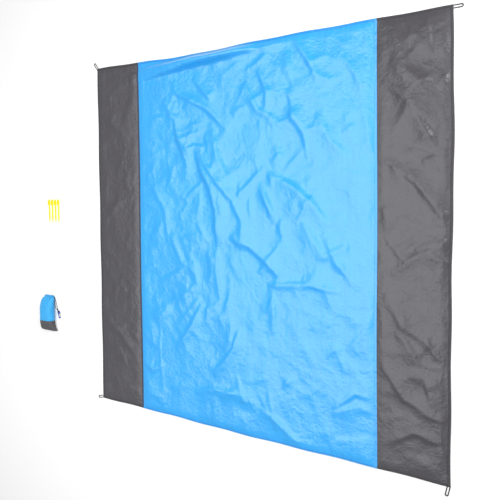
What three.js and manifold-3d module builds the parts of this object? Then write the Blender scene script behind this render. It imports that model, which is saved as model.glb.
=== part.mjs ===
// Camp blanket kit laid out on the ground: a three-panel nylon blanket with a webbing loop at each
// corner, four plastic pegs, and its stuffed drawcord bag with a small carabiner on the cord.
// Millimetres, +Z up, +X to the right and +Y to the far edge of the spread blanket. The origin is
// on the ground under the middle of the centre panel.

import * as THREE from 'three';
import { mergeVertices } from 'three/addons/utils/BufferGeometryUtils.js';
import Module from 'manifold-3d';

const wasm = await Module();
wasm.setup();

// ---------------------------------------------------------------- driving dimensions, millimetres

const seatingGap = 0.3;

const blanketWidth = 2100;
const blanketLength = 2000;
const sidePanelWidth = 332;
const clothThickness = 2;
const seamWidth = 12;
const seamThickness = 3.2;
const hemWidth = 12;
const hemThickness = 3.2;

const loopLength = 42;
const loopBand = 4.5;
const loopEyeWidth = 7;
const loopThickness = 1.6;

const pegLength = 150;
const pegSpacing = 30;
const pegShaftHalfWidth = 4.3;
const pegShoulderHalfWidth = 4.8;
const pegPointLength = 21;
const pegHeadHalfWidth = 5.3;
const pegHeadLength = 31;
const pegCapHalfWidth = 6;
const pegCapLength = 4;
const pegHookGap = 5.2;
const pegHookBand = 6.6;
const pegHookDrop = 6.4;
const pegHookArm = 10.6;
const pegHookLength = 36.6;
const pegPlateThickness = 3.2;
const pegRibWidth = 2.4;
const pegRibHeight = 4.6;

const bagWidth = 127;
const bagEarWidth = 148;
const bagBaseLength = 66;
const bagBodyLength = 216;
const bagMouthWidth = 82;
const bagMouthLength = 12;
const bagThickness = 54;
const bagSquareness = 2.4;
const bagSides = 28;

const cordDiameter = 3;

const carabinerLength = 50;
const carabinerWideEnd = 23;
const carabinerNarrowEnd = 15;
const carabinerRod = 4.5;
const carabinerTurn = 9.6;
const gateStart = 4;
const gateLength = 23;
const gateClearance = 0.35;
const gateHeel = 1.1;
const gateHeelClearance = 0.7;
const rivetDiameter = 1.5;
const rivetClearance = 0.12;
const hitchStretch = 1.3;
const knotDiameter = 6;
const tailLength = 6;

// Where the loose pieces lie on the ground: the middle of the row of pegs, and the bag's bottom seam.
const pegRowMiddle = new THREE.Vector2(-1479, 142);
const bagBottomSeam = new THREE.Vector2(-1543, -636);

// ---------------------------------------------------------------- materials

const material = (color, roughness, metalness = 0) =>
  new THREE.MeshStandardMaterial({ color, roughness, metalness });

const blueNylon = material(0x3fb0f5, 0.5);
const greyNylon = material(0x5e5b62, 0.55);
const blueRipstop = material(0x3aaef2, 0.6);
const greyBagCloth = material(0x4f4f52, 0.65);
const blackWebbing = material(0x121110, 0.85);
const blackCord = material(0x141210, 0.8);
const yellowPlastic = material(0xffe000, 0.4);
const blueAnodised = material(0x4655be, 0.3, 0.8);
const gateSteel = material(0xc8ccc3, 0.3, 0.9);

// ---------------------------------------------------------------- helpers

function add(parent, name, geometry, finish) {
  const mesh = new THREE.Mesh(geometry, finish);
  mesh.name = name;
  parent.add(mesh);
  return mesh;
}

function box(x0, x1, y0, y1, z0, z1) {
  const geometry = new THREE.BoxGeometry(x1 - x0, y1 - y0, z1 - z0);
  return geometry.translate((x0 + x1) / 2, (y0 + y1) / 2, (z0 + z1) / 2);
}

function merged(geometry) {
  geometry.deleteAttribute('normal');
  geometry.deleteAttribute('uv');
  return mergeVertices(geometry, 1e-4);
}

function solidOf(geometry) {
  const closed = merged(geometry);
  const vertProperties = new Float32Array(closed.attributes.position.array);
  const triVerts = new Uint32Array(closed.index.array);
  return new wasm.Manifold(new wasm.Mesh({ numProp: 3, vertProperties, triVerts }));
}

function geometryOf(solid) {
  const { vertProperties, triVerts } = solid.getMesh();
  const geometry = new THREE.BufferGeometry();
  geometry.setAttribute('position', new THREE.BufferAttribute(new Float32Array(vertProperties), 3));
  geometry.setIndex(new THREE.BufferAttribute(new Uint32Array(triVerts), 1));
  geometry.computeVertexNormals();
  return geometry;
}

function extruded(shape, depth, curveSegments = 8) {
  return new THREE.ExtrudeGeometry(shape, { depth, bevelEnabled: false, curveSegments });
}

function roundSection(radius, sides) {
  const points = [];
  for (let i = 0; i < sides; i += 1) {
    const angle = (i / sides) * Math.PI * 2;
    points.push(new THREE.Vector2(Math.cos(angle) * radius, Math.sin(angle) * radius));
  }
  return new THREE.Shape(points);
}

function tube(path, radius, sides, steps) {
  const section = roundSection(radius, sides);
  return new THREE.ExtrudeGeometry(section, { extrudePath: path, steps, bevelEnabled: false });
}

// ---------------------------------------------------------------- blanket

const blanket = new THREE.Group();
const halfWidth = blanketWidth / 2;
const halfLength = blanketLength / 2;
const seamMiddle = halfWidth - sidePanelWidth;
const seamInner = seamMiddle - seamWidth / 2;
const seamOuter = seamMiddle + seamWidth / 2;
const clothHalfLength = halfLength - hemWidth - seatingGap;

function buildCentrePanel() {
  const reach = seamInner - seatingGap;
  const cloth = box(-reach, reach, -clothHalfLength, clothHalfLength, 0, clothThickness);
  add(blanket, 'centre_panel', cloth, blueNylon);
  for (const [end, side] of [['top', 1], ['bottom', -1]]) {
    const inner = side * (halfLength - hemWidth);
    const outer = side * halfLength;
    const [low, high] = [Math.min(inner, outer), Math.max(inner, outer)];
    add(blanket, `centre_hem_${end}`, box(-reach, reach, low, high, 0, hemThickness), blueNylon);
  }
}

function buildSidePanel(label, side) {
  const span = (inner, outer) => [side * inner, side * outer].sort((a, b) => a - b);
  const clothOuter = halfWidth - hemWidth - seatingGap;
  const [x0, x1] = span(seamOuter + seatingGap, clothOuter);
  const cloth = box(x0, x1, -clothHalfLength, clothHalfLength, 0, clothThickness);
  add(blanket, `${label}_panel`, cloth, greyNylon);
  const upperHem = box(x0, x1, halfLength - hemWidth, halfLength, 0, hemThickness);
  add(blanket, `${label}_hem_top`, upperHem, greyNylon);
  const lowerHem = box(x0, x1, -halfLength, hemWidth - halfLength, 0, hemThickness);
  add(blanket, `${label}_hem_bottom`, lowerHem, greyNylon);
  const [edge0, edge1] = span(halfWidth - hemWidth, halfWidth);
  const edgeHem = box(edge0, edge1, -halfLength, halfLength, 0, hemThickness);
  add(blanket, `${label}_hem_side`, edgeHem, greyNylon);
  const [seam0, seam1] = span(seamInner, seamOuter);
  add(blanket, `${label}_seam`, box(seam0, seam1, -halfLength, halfLength, 0, seamThickness), greyNylon);
}

// A loop is narrow webbing laid flat, with its two ends side by side in the hem: a long flat ring.
// Its local +X points away from the blanket, and x = 0 is where it leaves the hem.
function loopGeometry() {
  const outerRadius = loopEyeWidth / 2 + loopBand;
  const eyeRadius = loopEyeWidth / 2;
  const outline = new THREE.Shape();
  outline.moveTo(0, -outerRadius);
  outline.lineTo(loopLength - outerRadius, -outerRadius);
  outline.absarc(loopLength - outerRadius, 0, outerRadius, -Math.PI / 2, Math.PI / 2, false);
  outline.lineTo(0, outerRadius);
  outline.closePath();
  const eye = new THREE.Path();
  eye.moveTo(loopBand, -eyeRadius);
  eye.lineTo(loopLength - outerRadius, -eyeRadius);
  eye.absarc(loopLength - outerRadius, 0, eyeRadius, -Math.PI / 2, Math.PI / 2, false);
  eye.lineTo(loopBand, eyeRadius);
  eye.closePath();
  outline.holes.push(eye);
  return extruded(outline, loopThickness, 10);
}

// Each loop leaves its corner in its own direction, in degrees from +X. The two loops that leave
// one edge start inside the corner by half their width; the diagonal one starts at the corner.
function buildLoop(name, sideX, sideY, degrees) {
  const angle = THREE.MathUtils.degToRad(degrees);
  const away = new THREE.Vector2(Math.cos(angle), Math.sin(angle));
  const halfBreadth = loopEyeWidth / 2 + loopBand;
  const root = new THREE.Vector2(sideX * halfWidth, sideY * halfLength);
  const slantX = Math.abs(away.x) > Math.abs(away.y);
  const lean = Math.min(Math.abs(away.x), Math.abs(away.y));
  const diagonal = lean > 0.5;
  if (diagonal) {
    root.addScaledVector(away, seatingGap);
  } else if (slantX) {
    root.x += sideX * (seatingGap + halfBreadth * lean);
    root.y -= sideY * halfBreadth;
  } else {
    root.y += sideY * (seatingGap + halfBreadth * lean);
    root.x -= sideX * halfBreadth;
  }
  const mesh = add(blanket, name, loopGeometry(), blackWebbing);
  mesh.position.set(root.x, root.y, 0);
  mesh.rotation.z = angle;
}

buildCentrePanel();
buildSidePanel('left', -1);
buildSidePanel('right', 1);
buildLoop('loop_top_left', -1, 1, 127);
buildLoop('loop_top_right', 1, 1, 0);
buildLoop('loop_bottom_right', 1, -1, 257);
buildLoop('loop_bottom_left', -1, -1, 192);

// ---------------------------------------------------------------- pegs

// Outline of the flat plate of a peg: point at the origin, head up, hook to the left.
function pegOutline() {
  const hookTop = pegLength - pegHookDrop;
  const armBottom = hookTop - pegHookArm;
  const hookInner = pegHeadHalfWidth + pegHookGap;
  const hookOuter = hookInner + pegHookBand;
  const corner = pegHookBand;
  const fingerRadius = pegHookBand / 2;
  const fingerEnd = pegLength - pegHookLength + fingerRadius;
  const headBottom = pegLength - pegHeadLength;
  const gapCorner = pegHookGap / 2;
  const outline = new THREE.Shape();
  outline.moveTo(0, 0);
  outline.lineTo(pegShoulderHalfWidth, pegPointLength);
  outline.lineTo(pegShaftHalfWidth, headBottom - 1);
  outline.lineTo(pegHeadHalfWidth, headBottom);
  outline.lineTo(pegHeadHalfWidth, pegLength - pegCapLength);
  outline.lineTo(pegCapHalfWidth, pegLength - pegCapLength);
  outline.lineTo(pegCapHalfWidth, pegLength);
  outline.lineTo(-pegCapHalfWidth, pegLength);
  outline.lineTo(-pegCapHalfWidth, pegLength - pegCapLength);
  outline.lineTo(-pegHeadHalfWidth, pegLength - pegCapLength);
  outline.lineTo(-pegHeadHalfWidth, hookTop);
  outline.absarc(corner - hookOuter, hookTop - corner, corner, Math.PI / 2, Math.PI, false);
  outline.lineTo(-hookOuter, fingerEnd);
  outline.absarc(fingerRadius - hookOuter, fingerEnd, fingerRadius, Math.PI, Math.PI * 2, false);
  outline.lineTo(-hookInner, armBottom - gapCorner);
  outline.absarc(gapCorner - hookInner, armBottom - gapCorner, gapCorner, Math.PI, 0, true);
  outline.lineTo(-pegHeadHalfWidth, headBottom);
  outline.lineTo(-pegShaftHalfWidth, headBottom - 1);
  outline.lineTo(-pegShoulderHalfWidth, pegPointLength);
  outline.closePath();
  return outline;
}

// The rib stands on the plate from the point to the cap, and runs out to nothing at the point.
function pegRib() {
  const side = new THREE.Shape();
  side.moveTo(pegPointLength / 2, 0);
  side.lineTo(pegPointLength * 1.5, pegRibHeight);
  side.lineTo(pegLength, pegRibHeight);
  side.lineTo(pegLength, -pegPlateThickness / 2);
  side.lineTo(pegPointLength / 2, -pegPlateThickness / 2);
  side.closePath();
  const rib = extruded(side, pegRibWidth);
  rib.translate(0, 0, -pegRibWidth / 2);
  rib.rotateX(Math.PI / 2);
  rib.rotateZ(Math.PI / 2);
  return rib.translate(0, 0, pegPlateThickness);
}

function pegGeometry() {
  const plate = solidOf(extruded(pegOutline(), pegPlateThickness, 6));
  const capTop = pegPlateThickness + pegRibHeight;
  const cap = box(-pegCapHalfWidth, pegCapHalfWidth, pegLength - pegCapLength, pegLength, 0, capTop);
  return geometryOf(plate.add(solidOf(pegRib())).add(solidOf(cap)));
}

const pegs = new THREE.Group();
pegs.position.set(pegRowMiddle.x, pegRowMiddle.y - pegLength / 2, 0);
const pegCount = 4;
for (let i = 0; i < pegCount; i += 1) {
  const mesh = add(pegs, `peg_${i + 1}`, pegGeometry(), yellowPlastic);
  mesh.position.x = (i - (pegCount - 1) / 2) * pegSpacing;
}

// ---------------------------------------------------------------- bag

// A soft solid lofted through flattened round sections, each [distance, width, thickness], that
// all rest on the ground. The distance runs along +Y.
function loftedPad(sections, squareness) {
  const geometry = merged(new THREE.CylinderGeometry(1, 1, 1, bagSides, sections.length - 1));
  const position = geometry.attributes.position;
  for (let i = 0; i < position.count; i += 1) {
    const row = Math.round((0.5 - position.getY(i)) * (sections.length - 1));
    const [along, width, thickness] = sections[sections.length - 1 - row];
    const spread = Math.hypot(position.getX(i), position.getZ(i));
    const angle = Math.atan2(position.getZ(i), position.getX(i));
    const power = 2 / squareness;
    const across = Math.sign(Math.cos(angle)) * Math.abs(Math.cos(angle)) ** power;
    const upward = Math.sign(Math.sin(angle)) * Math.abs(Math.sin(angle)) ** power;
    const middle = thickness / 2;
    position.setXYZ(i, spread * across * width / 2, along, middle + spread * upward * middle);
  }
  return geometry;
}

const bag = new THREE.Group();
bag.position.set(bagBottomSeam.x, bagBottomSeam.y, 0);

function buildBag() {
  const seamThick = bagThickness * 0.93;
  const base = [
    [0, bagEarWidth, bagThickness * 0.15],
    [bagBaseLength * 0.15, bagEarWidth * 0.95, bagThickness * 0.45],
    [bagBaseLength * 0.38, (bagEarWidth + bagWidth) / 2, bagThickness * 0.7],
    [bagBaseLength * 0.68, bagWidth * 1.02, bagThickness * 0.85],
    [bagBaseLength, bagWidth, seamThick],
  ];
  const upperLength = bagBodyLength - bagBaseLength;
  const along = (share) => bagBaseLength + seatingGap + upperLength * share;
  const upper = [
    [along(0), bagWidth, seamThick],
    [along(0.23), bagWidth * 0.99, bagThickness],
    [along(0.5), bagWidth * 0.98, bagThickness],
    [along(0.72), bagWidth * 0.96, bagThickness * 0.9],
    [along(0.89), bagWidth * 0.92, bagThickness * 0.67],
    [along(1), bagWidth * 0.79, bagThickness * 0.33],
  ];
  const mouthStart = along(1) + seatingGap;
  const mouth = [
    [mouthStart, bagMouthWidth * 0.98, bagThickness * 0.28],
    [mouthStart + bagMouthLength / 2, bagMouthWidth, bagThickness * 0.26],
    [mouthStart + bagMouthLength, bagMouthWidth * 0.8, bagThickness * 0.15],
  ];
  add(bag, 'bag_base', loftedPad(base, bagSquareness), greyBagCloth);
  add(bag, 'bag_upper', loftedPad(upper, bagSquareness), blueRipstop);
  add(bag, 'bag_mouth', loftedPad(mouth, bagSquareness), blueRipstop);
}

buildBag();

// ---------------------------------------------------------------- drawcord, on the bag's own axes

const cordRadius = cordDiameter / 2;
const hitchRadius = carabinerRod / 2 + seatingGap + cordRadius;
const swingPoint = new THREE.Vector2(81.2, 135.5);
const hitchAngle = THREE.MathUtils.degToRad(-55);
const hitchWay = new THREE.Vector2(Math.cos(hitchAngle), Math.sin(hitchAngle));
const hitchReach = (hitchRadius + cordRadius) * hitchStretch;
const hitchGap = 0.9;

// Both ends of the cord leave the gathered mouth, drop to the ground beside the bag and run to the
// carabiner. Each point is [x, y, height of the cord's middle].
const upperStrand = [
  [42.9, 222, 7], [47, 220, 5], [51, 214, 2.6], [54.5, 206, 1.5], [58, 196, 1.5], [61, 187, 1.5],
  [65, 176, 1.5], [69, 165, 1.5], [73, 154, 1.5], [77, 145, 1.7], [80.3, 139, 3.4], [82.6, 136.5, 5.6],
];
const lowerStrand = [
  [40.6, 219, 2.2], [43, 215, 1.6], [45, 208, 1.5], [46.5, 198, 1.5], [48, 187, 1.5], [50, 174, 1.5],
  [53, 162, 1.5], [57, 152, 1.5], [62, 145.5, 1.5], [68, 141, 1.7], [74.5, 137.6, 3.6], [79.8, 134.5, 5.6],
];

function buildStrand(name, points) {
  const places = points.map((point) => new THREE.Vector3(...point));
  const route = new THREE.CatmullRomCurve3(places, false, 'centripetal');
  add(bag, name, tube(route, cordRadius, 8, 22), blackCord);
}

// The two cut ends of the cord lie side by side under the knot.
function buildTail(name, knot, side) {
  const offset = side * (cordRadius + seatingGap);
  const top = knot.y - knotDiameter / 2 - seatingGap;
  const start = new THREE.Vector3(knot.x + offset, top, cordRadius);
  const end = new THREE.Vector3(knot.x + offset, top - tailLength, cordRadius);
  add(bag, name, tube(new THREE.LineCurve3(start, end), cordRadius, 8, 2), blackCord);
}

function buildHitchAndKnot() {
  const middle = swingPoint.clone().addScaledVector(hitchWay, hitchGap + hitchReach);
  const hitch = new THREE.TorusGeometry(hitchRadius, cordRadius, 8, 20);
  hitch.rotateX(Math.PI / 2);
  hitch.scale(hitchStretch, 1, 1);
  hitch.rotateZ(hitchAngle);
  hitch.translate(middle.x, middle.y, hitchRadius + cordRadius);
  add(bag, 'cord_hitch', merged(hitch), blackCord);
  const knot = middle.clone().addScaledVector(hitchWay, hitchReach + seatingGap + knotDiameter / 2);
  const ball = merged(new THREE.SphereGeometry(knotDiameter / 2, 14, 10));
  add(bag, 'cord_knot', ball.translate(knot.x, knot.y, knotDiameter / 2), blackCord);
  buildTail('cord_tail_left', knot, -1);
  buildTail('cord_tail_right', knot, 1);
  return middle;
}

buildStrand('cord_upper', upperStrand);
buildStrand('cord_lower', lowerStrand);
const hitchMiddle = buildHitchAndKnot();

// ---------------------------------------------------------------- carabiner

// Pear-shaped ring on its own axes: the middle of the wide end's arc is the origin, +Y points away
// from the narrow end, and the gate is the straight run on the +X side.
const rodRadius = carabinerRod / 2;
const wideRadius = carabinerWideEnd / 2 - rodRadius;
const narrowRadius = carabinerNarrowEnd / 2 - rodRadius;
const arcSpacing = carabinerLength - carabinerRod - wideRadius - narrowRadius;
const sideLean = Math.asin((wideRadius - narrowRadius) / arcSpacing);
const sideNormal = new THREE.Vector2(Math.cos(sideLean), -Math.sin(sideLean));
const sideDown = new THREE.Vector2(sideNormal.y, -sideNormal.x);
const sideTop = sideNormal.clone().multiplyScalar(wideRadius);
const narrowMiddle = new THREE.Vector2(0, -arcSpacing);
const sideBottom = narrowMiddle.clone().addScaledVector(sideNormal, narrowRadius);
const sideLength = sideTop.distanceTo(sideBottom);
const gateTop = sideTop.clone().addScaledVector(sideDown, gateStart);
const gatePivot = gateTop.clone().addScaledVector(sideDown, gateLength);

const flat = (point) => new THREE.Vector3(point.x, point.y, 0);

// The rod runs from the nose at the gate's free end, over the wide end, down the back and round
// the narrow end, up to the gate's pivot.
function ringPath() {
  const path = new THREE.CurvePath();
  const arc = (middle, radius, from, to) => {
    const points = [];
    const steps = 24;
    for (let i = 0; i <= steps; i += 1) {
      const angle = from + (to - from) * (i / steps);
      const x = middle.x + radius * Math.cos(angle);
      const y = middle.y + radius * Math.sin(angle);
      points.push(new THREE.Vector3(x, y, 0));
    }
    path.add(new THREE.CatmullRomCurve3(points));
  };
  const nose = gateTop.clone();
  const back = (point) => new THREE.Vector2(-point.x, point.y);
  path.add(new THREE.LineCurve3(flat(nose), flat(sideTop)));
  arc(new THREE.Vector2(0, 0), wideRadius, -sideLean, Math.PI + sideLean);
  path.add(new THREE.LineCurve3(flat(back(sideTop)), flat(back(sideBottom))));
  arc(narrowMiddle, narrowRadius, Math.PI + sideLean, Math.PI * 2 - sideLean);
  path.add(new THREE.LineCurve3(flat(sideBottom), flat(gatePivot)));
  return path;
}

// A block on the gate's own line: from and to are distances down the line from the gate's top.
function blockOnGate(from, to, halfAcross, halfHigh) {
  const block = new THREE.BoxGeometry(halfAcross * 2, to - from, halfHigh * 2);
  block.translate(0, -(from + to) / 2, 0);
  block.rotateZ(Math.atan2(sideDown.x, -sideDown.y));
  return block.translate(gateTop.x, gateTop.y, 0);
}

function rodOnGate(from, to, radius, sides) {
  const rod = new THREE.CylinderGeometry(radius, radius, to - from, sides);
  rod.translate(0, -(from + to) / 2, 0);
  rod.rotateZ(Math.atan2(sideDown.x, -sideDown.y));
  return rod.translate(gateTop.x, gateTop.y, 0);
}

function acrossGate(at, radius, halfHigh, sides) {
  const rod = new THREE.CylinderGeometry(radius, radius, halfHigh * 2, sides);
  rod.rotateX(Math.PI / 2);
  return rod.translate(gateTop.x + sideDown.x * at, gateTop.y + sideDown.y * at, 0);
}

const tongueHalf = 0.7;
const slotHalf = tongueHalf + gateClearance;
const noseTongue = 2.4;
const tailTongue = 3.2;
const wide = carabinerRod;
const gateFrom = gateClearance;
const gateTo = gateLength + gateHeel;

function buildRing() {
  const rod = solidOf(tube(ringPath(), rodRadius, 12, 74));
  const gateRoom = solidOf(blockOnGate(0, gateTo + gateHeelClearance, wide, wide));
  const nose = blockOnGate(-1, noseTongue, rodRadius * 0.6, tongueHalf);
  const tail = blockOnGate(gateLength - tailTongue, gateTo + 1, rodRadius * 0.6, tongueHalf);
  const rivetHole = acrossGate(gateLength, rivetDiameter / 2 + rivetClearance, wide, 16);
  const ring = rod.subtract(gateRoom).add(solidOf(nose)).add(solidOf(tail));
  return geometryOf(ring.subtract(solidOf(rivetHole)));
}

const springRadius = 0.9;
const springLength = 8;
const springTo = gateLength - tailTongue - seatingGap;
const springFrom = springTo - springLength;

function buildGate() {
  const slotTop = blockOnGate(-1, noseTongue + gateClearance, wide, slotHalf);
  const slotLow = blockOnGate(gateLength - tailTongue - gateClearance, gateTo + 1, wide, slotHalf);
  const rivetHole = acrossGate(gateLength, rivetDiameter / 2 + rivetClearance, wide, 16);
  const boreTo = gateLength - tailTongue;
  const springBore = rodOnGate(springFrom - seatingGap, boreTo, springRadius + seatingGap, 12);
  let gate = solidOf(rodOnGate(gateFrom, gateTo, rodRadius, 12));
  for (const cut of [slotTop, slotLow, rivetHole, springBore]) {
    gate = gate.subtract(solidOf(cut));
  }
  return geometryOf(gate);
}

// The hitch goes round the rod at the wide end, so the ring lies on it there and on the ground at
// its narrow end.
const carabinerAngle = THREE.MathUtils.degToRad(carabinerTurn);
const hitchPlace = Math.PI + hitchAngle - carabinerAngle;
const hitchOnRing = new THREE.Vector2(Math.cos(hitchPlace), Math.sin(hitchPlace)).multiplyScalar(wideRadius);

function buildCarabiner() {
  const carabiner = new THREE.Group();
  const hitchHeight = hitchRadius + cordRadius;
  const run = hitchOnRing.y + arcSpacing + narrowRadius;
  const tilt = Math.atan2(hitchHeight - rodRadius, run);
  const turned = new THREE.Group();
  turned.rotation.x = tilt;
  add(turned, 'carabiner_body', buildRing(), blueAnodised);
  add(turned, 'carabiner_gate', buildGate(), gateSteel);
  add(turned, 'gate_rivet', acrossGate(gateLength, rivetDiameter / 2, rodRadius * 0.95, 16), gateSteel);
  add(turned, 'gate_spring', rodOnGate(springFrom, springTo, springRadius, 10), gateSteel);
  carabiner.add(turned);
  carabiner.rotation.z = carabinerAngle;
  const hitchHere = flat(hitchOnRing).applyAxisAngle(new THREE.Vector3(1, 0, 0), tilt);
  hitchHere.applyAxisAngle(new THREE.Vector3(0, 0, 1), carabiner.rotation.z);
  carabiner.position.set(hitchMiddle.x, hitchMiddle.y, hitchHeight).sub(hitchHere);
  return carabiner;
}

bag.add(buildCarabiner());

// ---------------------------------------------------------------- the whole kit

const kit = new THREE.Group();
kit.add(blanket, pegs, bag);

export default kit;
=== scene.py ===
"""Looks of the camp blanket kit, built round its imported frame.

The spread three-panel blanket with its corner loops, the four pegs, and the stuffed drawcord bag with
the carabiner on its cord. Metres, +Z up, origin on the ground under the middle of the centre panel.
"""

import logging
import math
import random
from dataclasses import dataclass, field
from enum import Enum

import bmesh
import bpy
import numpy as np
from mathutils import Matrix, Vector, noise


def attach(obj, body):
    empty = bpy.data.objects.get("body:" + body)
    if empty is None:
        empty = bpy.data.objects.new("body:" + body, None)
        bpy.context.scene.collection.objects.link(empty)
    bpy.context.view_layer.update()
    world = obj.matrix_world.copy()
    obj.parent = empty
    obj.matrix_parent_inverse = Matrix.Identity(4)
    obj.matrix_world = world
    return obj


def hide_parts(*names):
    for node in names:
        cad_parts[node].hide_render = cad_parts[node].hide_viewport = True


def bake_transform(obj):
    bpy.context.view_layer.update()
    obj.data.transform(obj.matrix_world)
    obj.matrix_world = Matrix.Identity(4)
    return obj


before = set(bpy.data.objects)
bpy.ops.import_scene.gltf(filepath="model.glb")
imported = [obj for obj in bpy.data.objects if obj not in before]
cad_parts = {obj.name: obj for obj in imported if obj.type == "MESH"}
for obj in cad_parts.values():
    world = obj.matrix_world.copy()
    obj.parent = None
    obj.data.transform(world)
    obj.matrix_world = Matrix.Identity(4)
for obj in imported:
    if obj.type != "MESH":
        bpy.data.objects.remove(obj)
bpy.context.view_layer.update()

log = logging.getLogger("blanket")
Colour = tuple[float, float, float, float]
Point = tuple[float, float, float]
Spot = tuple[float, float]
TURN = 2 * math.pi
MM = 1000.0
TINY = 1e-9


# ------------------------------------------------------------------ shader arithmetic


class Wire:
    """One output of a node, used in arithmetic that adds the nodes it needs."""

    def __init__(self, paint: "Paint", socket: bpy.types.NodeSocket) -> None:
        """Holds the socket and the material it belongs to."""
        self.paint = paint
        self.socket = socket

    def made(self, operation: str, first: "Value", second: "Value" = 0.0) -> "Wire":
        """Adds one Math node of that operation on two values or links."""
        return self.paint.node("ShaderNodeMath", {"operation": operation}, {0: first, 1: second})

    def __add__(self, other: "Value") -> "Wire":
        """Adds."""
        return self.made("ADD", self, other)

    def __radd__(self, other: "Value") -> "Wire":
        """Adds, from the right."""
        return self.made("ADD", other, self)

    def __sub__(self, other: "Value") -> "Wire":
        """Subtracts."""
        return self.made("SUBTRACT", self, other)

    def __rsub__(self, other: "Value") -> "Wire":
        """Subtracts, from the right."""
        return self.made("SUBTRACT", other, self)

    def __mul__(self, other: "Value") -> "Wire":
        """Multiplies."""
        return self.made("MULTIPLY", self, other)

    def __rmul__(self, other: "Value") -> "Wire":
        """Multiplies, from the right."""
        return self.made("MULTIPLY", other, self)

    def wave(self, pitch: float) -> "Wire":
        """Turns a distance into a sine of that pitch, from -1 to 1."""
        return self.made("SINE", self * (TURN / pitch), 0.0)

    def steep(self, power: float) -> "Wire":
        """Raises the size of the value to a power."""
        return self.made("POWER", self.made("ABSOLUTE", self), power)

    def over(self, level: float, soft: float) -> "Wire":
        """Gives a soft step from 0 to 1 as the value passes a level.

        Args:
            level: The level.
            soft: How far from it the step begins and ends.

        Returns:
            The step.
        """
        reach = {1: level - soft, 2: level + soft, 3: 0.0, 4: 1.0}
        settings = {"interpolation_type": "SMOOTHSTEP"}
        return self.paint.node("ShaderNodeMapRange", settings, {0: self, **reach})


Value = Wire | float | Colour | Point


class Paint:
    """One procedural material and the nodes that make it."""

    def __init__(self, name: str) -> None:
        """Starts the material with its shader.

        Args:
            name: The material's name.
        """
        self.material = bpy.data.materials.new(name)
        self.material.use_nodes = True
        self.tree = self.material.node_tree
        self.shader = next(n for n in self.tree.nodes if n.type == "BSDF_PRINCIPLED")

    def node(self, kind: str, settings: dict, sockets: dict, output: int = 0) -> Wire:
        """Adds a node.

        Args:
            kind: The node's type.
            settings: Its properties, with the stops of a ramp under "stops".
            sockets: The values or links of its inputs, by name or place.
            output: The place of the output wanted.

        Returns:
            That output.
        """
        made = self.tree.nodes.new(kind)
        for key, value in settings.items():
            if key == "stops":
                self._stops(made.color_ramp, value)
            else:
                setattr(made, key, value)
        for key, value in sockets.items():
            self.feed(made.inputs[key], value)
        return Wire(self, made.outputs[output])

    def _stops(self, ramp: bpy.types.ColorRamp, stops: tuple[tuple[float, Colour], ...]) -> None:
        """Gives a ramp its stops.

        Args:
            ramp: The ramp.
            stops: Each stop's place and colour.
        """
        while len(ramp.elements) < len(stops):
            ramp.elements.new(1.0)
        for element, (place, colour) in zip(ramp.elements, stops):
            element.position = place
            element.color = colour

    def feed(self, socket: bpy.types.NodeSocket, value: Value) -> None:
        """Links a wire to an input, or sets its number or colour.

        Args:
            socket: The input.
            value: The wire, number or colour.
        """
        if isinstance(value, Wire):
            self.tree.links.new(value.socket, socket)
        else:
            socket.default_value = value

    def set(self, **sockets: Value) -> None:
        """Feeds the shader's own inputs, named with _ for a space."""
        for name, value in sockets.items():
            self.feed(self.shader.inputs[name.replace("_", " ")], value)

    def place(self) -> Wire:
        """Gives the place on the piece, in metres."""
        return self.node("ShaderNodeTexCoord", {}, {}, 3)

    def along(self, axis: int) -> Wire:
        """Gives one coordinate of the place on the piece, in metres."""
        return self.node("ShaderNodeSeparateXYZ", {}, {0: self.place()}, axis)

    def scaled(self, factors: Point) -> Wire:
        """Gives the place on the piece, stretched by a factor on each axis."""
        return self.node("ShaderNodeVectorMath", {"operation": "MULTIPLY"}, {0: self.place(), 1: factors})

    def cloud(self, grain: "Grain") -> Wire:
        """Adds a noise.

        Args:
            grain: Its grain.

        Returns:
            The noise, from 0 to 1.
        """
        place = self.scaled(grain.factors)
        sockets = {"Vector": place, "Scale": 1.0, "Detail": grain.detail, "Roughness": grain.rough}
        return self.node("ShaderNodeTexNoise", {}, sockets)

    def mixed(self, share: Value, first: Value, second: Value) -> Wire:
        """Mixes two colours, with a share of the second one."""
        return self.node("ShaderNodeMix", {"data_type": "RGBA"}, {0: share, 6: first, 7: second}, 2)

    def relief(self, height: Wire, depth: float, strength: float = 1.0) -> None:
        """Roughens the surface with a bump of that depth in metres."""
        sockets = {"Height": height, "Distance": depth, "Strength": strength}
        self.feed(self.shader.inputs["Normal"], self.node("ShaderNodeBump", {}, sockets))


@dataclass(frozen=True)
class Grain:
    """A noise: its grains to the metre on each axis, its octaves and how strong the finer ones are."""

    factors: Point
    detail: float = 2.0
    rough: float = 0.5


def tint(red: float, green: float, blue: float) -> Colour:
    """Gives an opaque colour."""
    return (red, green, blue, 1.0)


def shaded(colour: Colour, factor: float) -> Colour:
    """Gives a lighter or darker shade of a colour."""
    return tint(*(min(1.0, part * factor) for part in colour[:3]))


# ------------------------------------------------------------------ finishes


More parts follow.
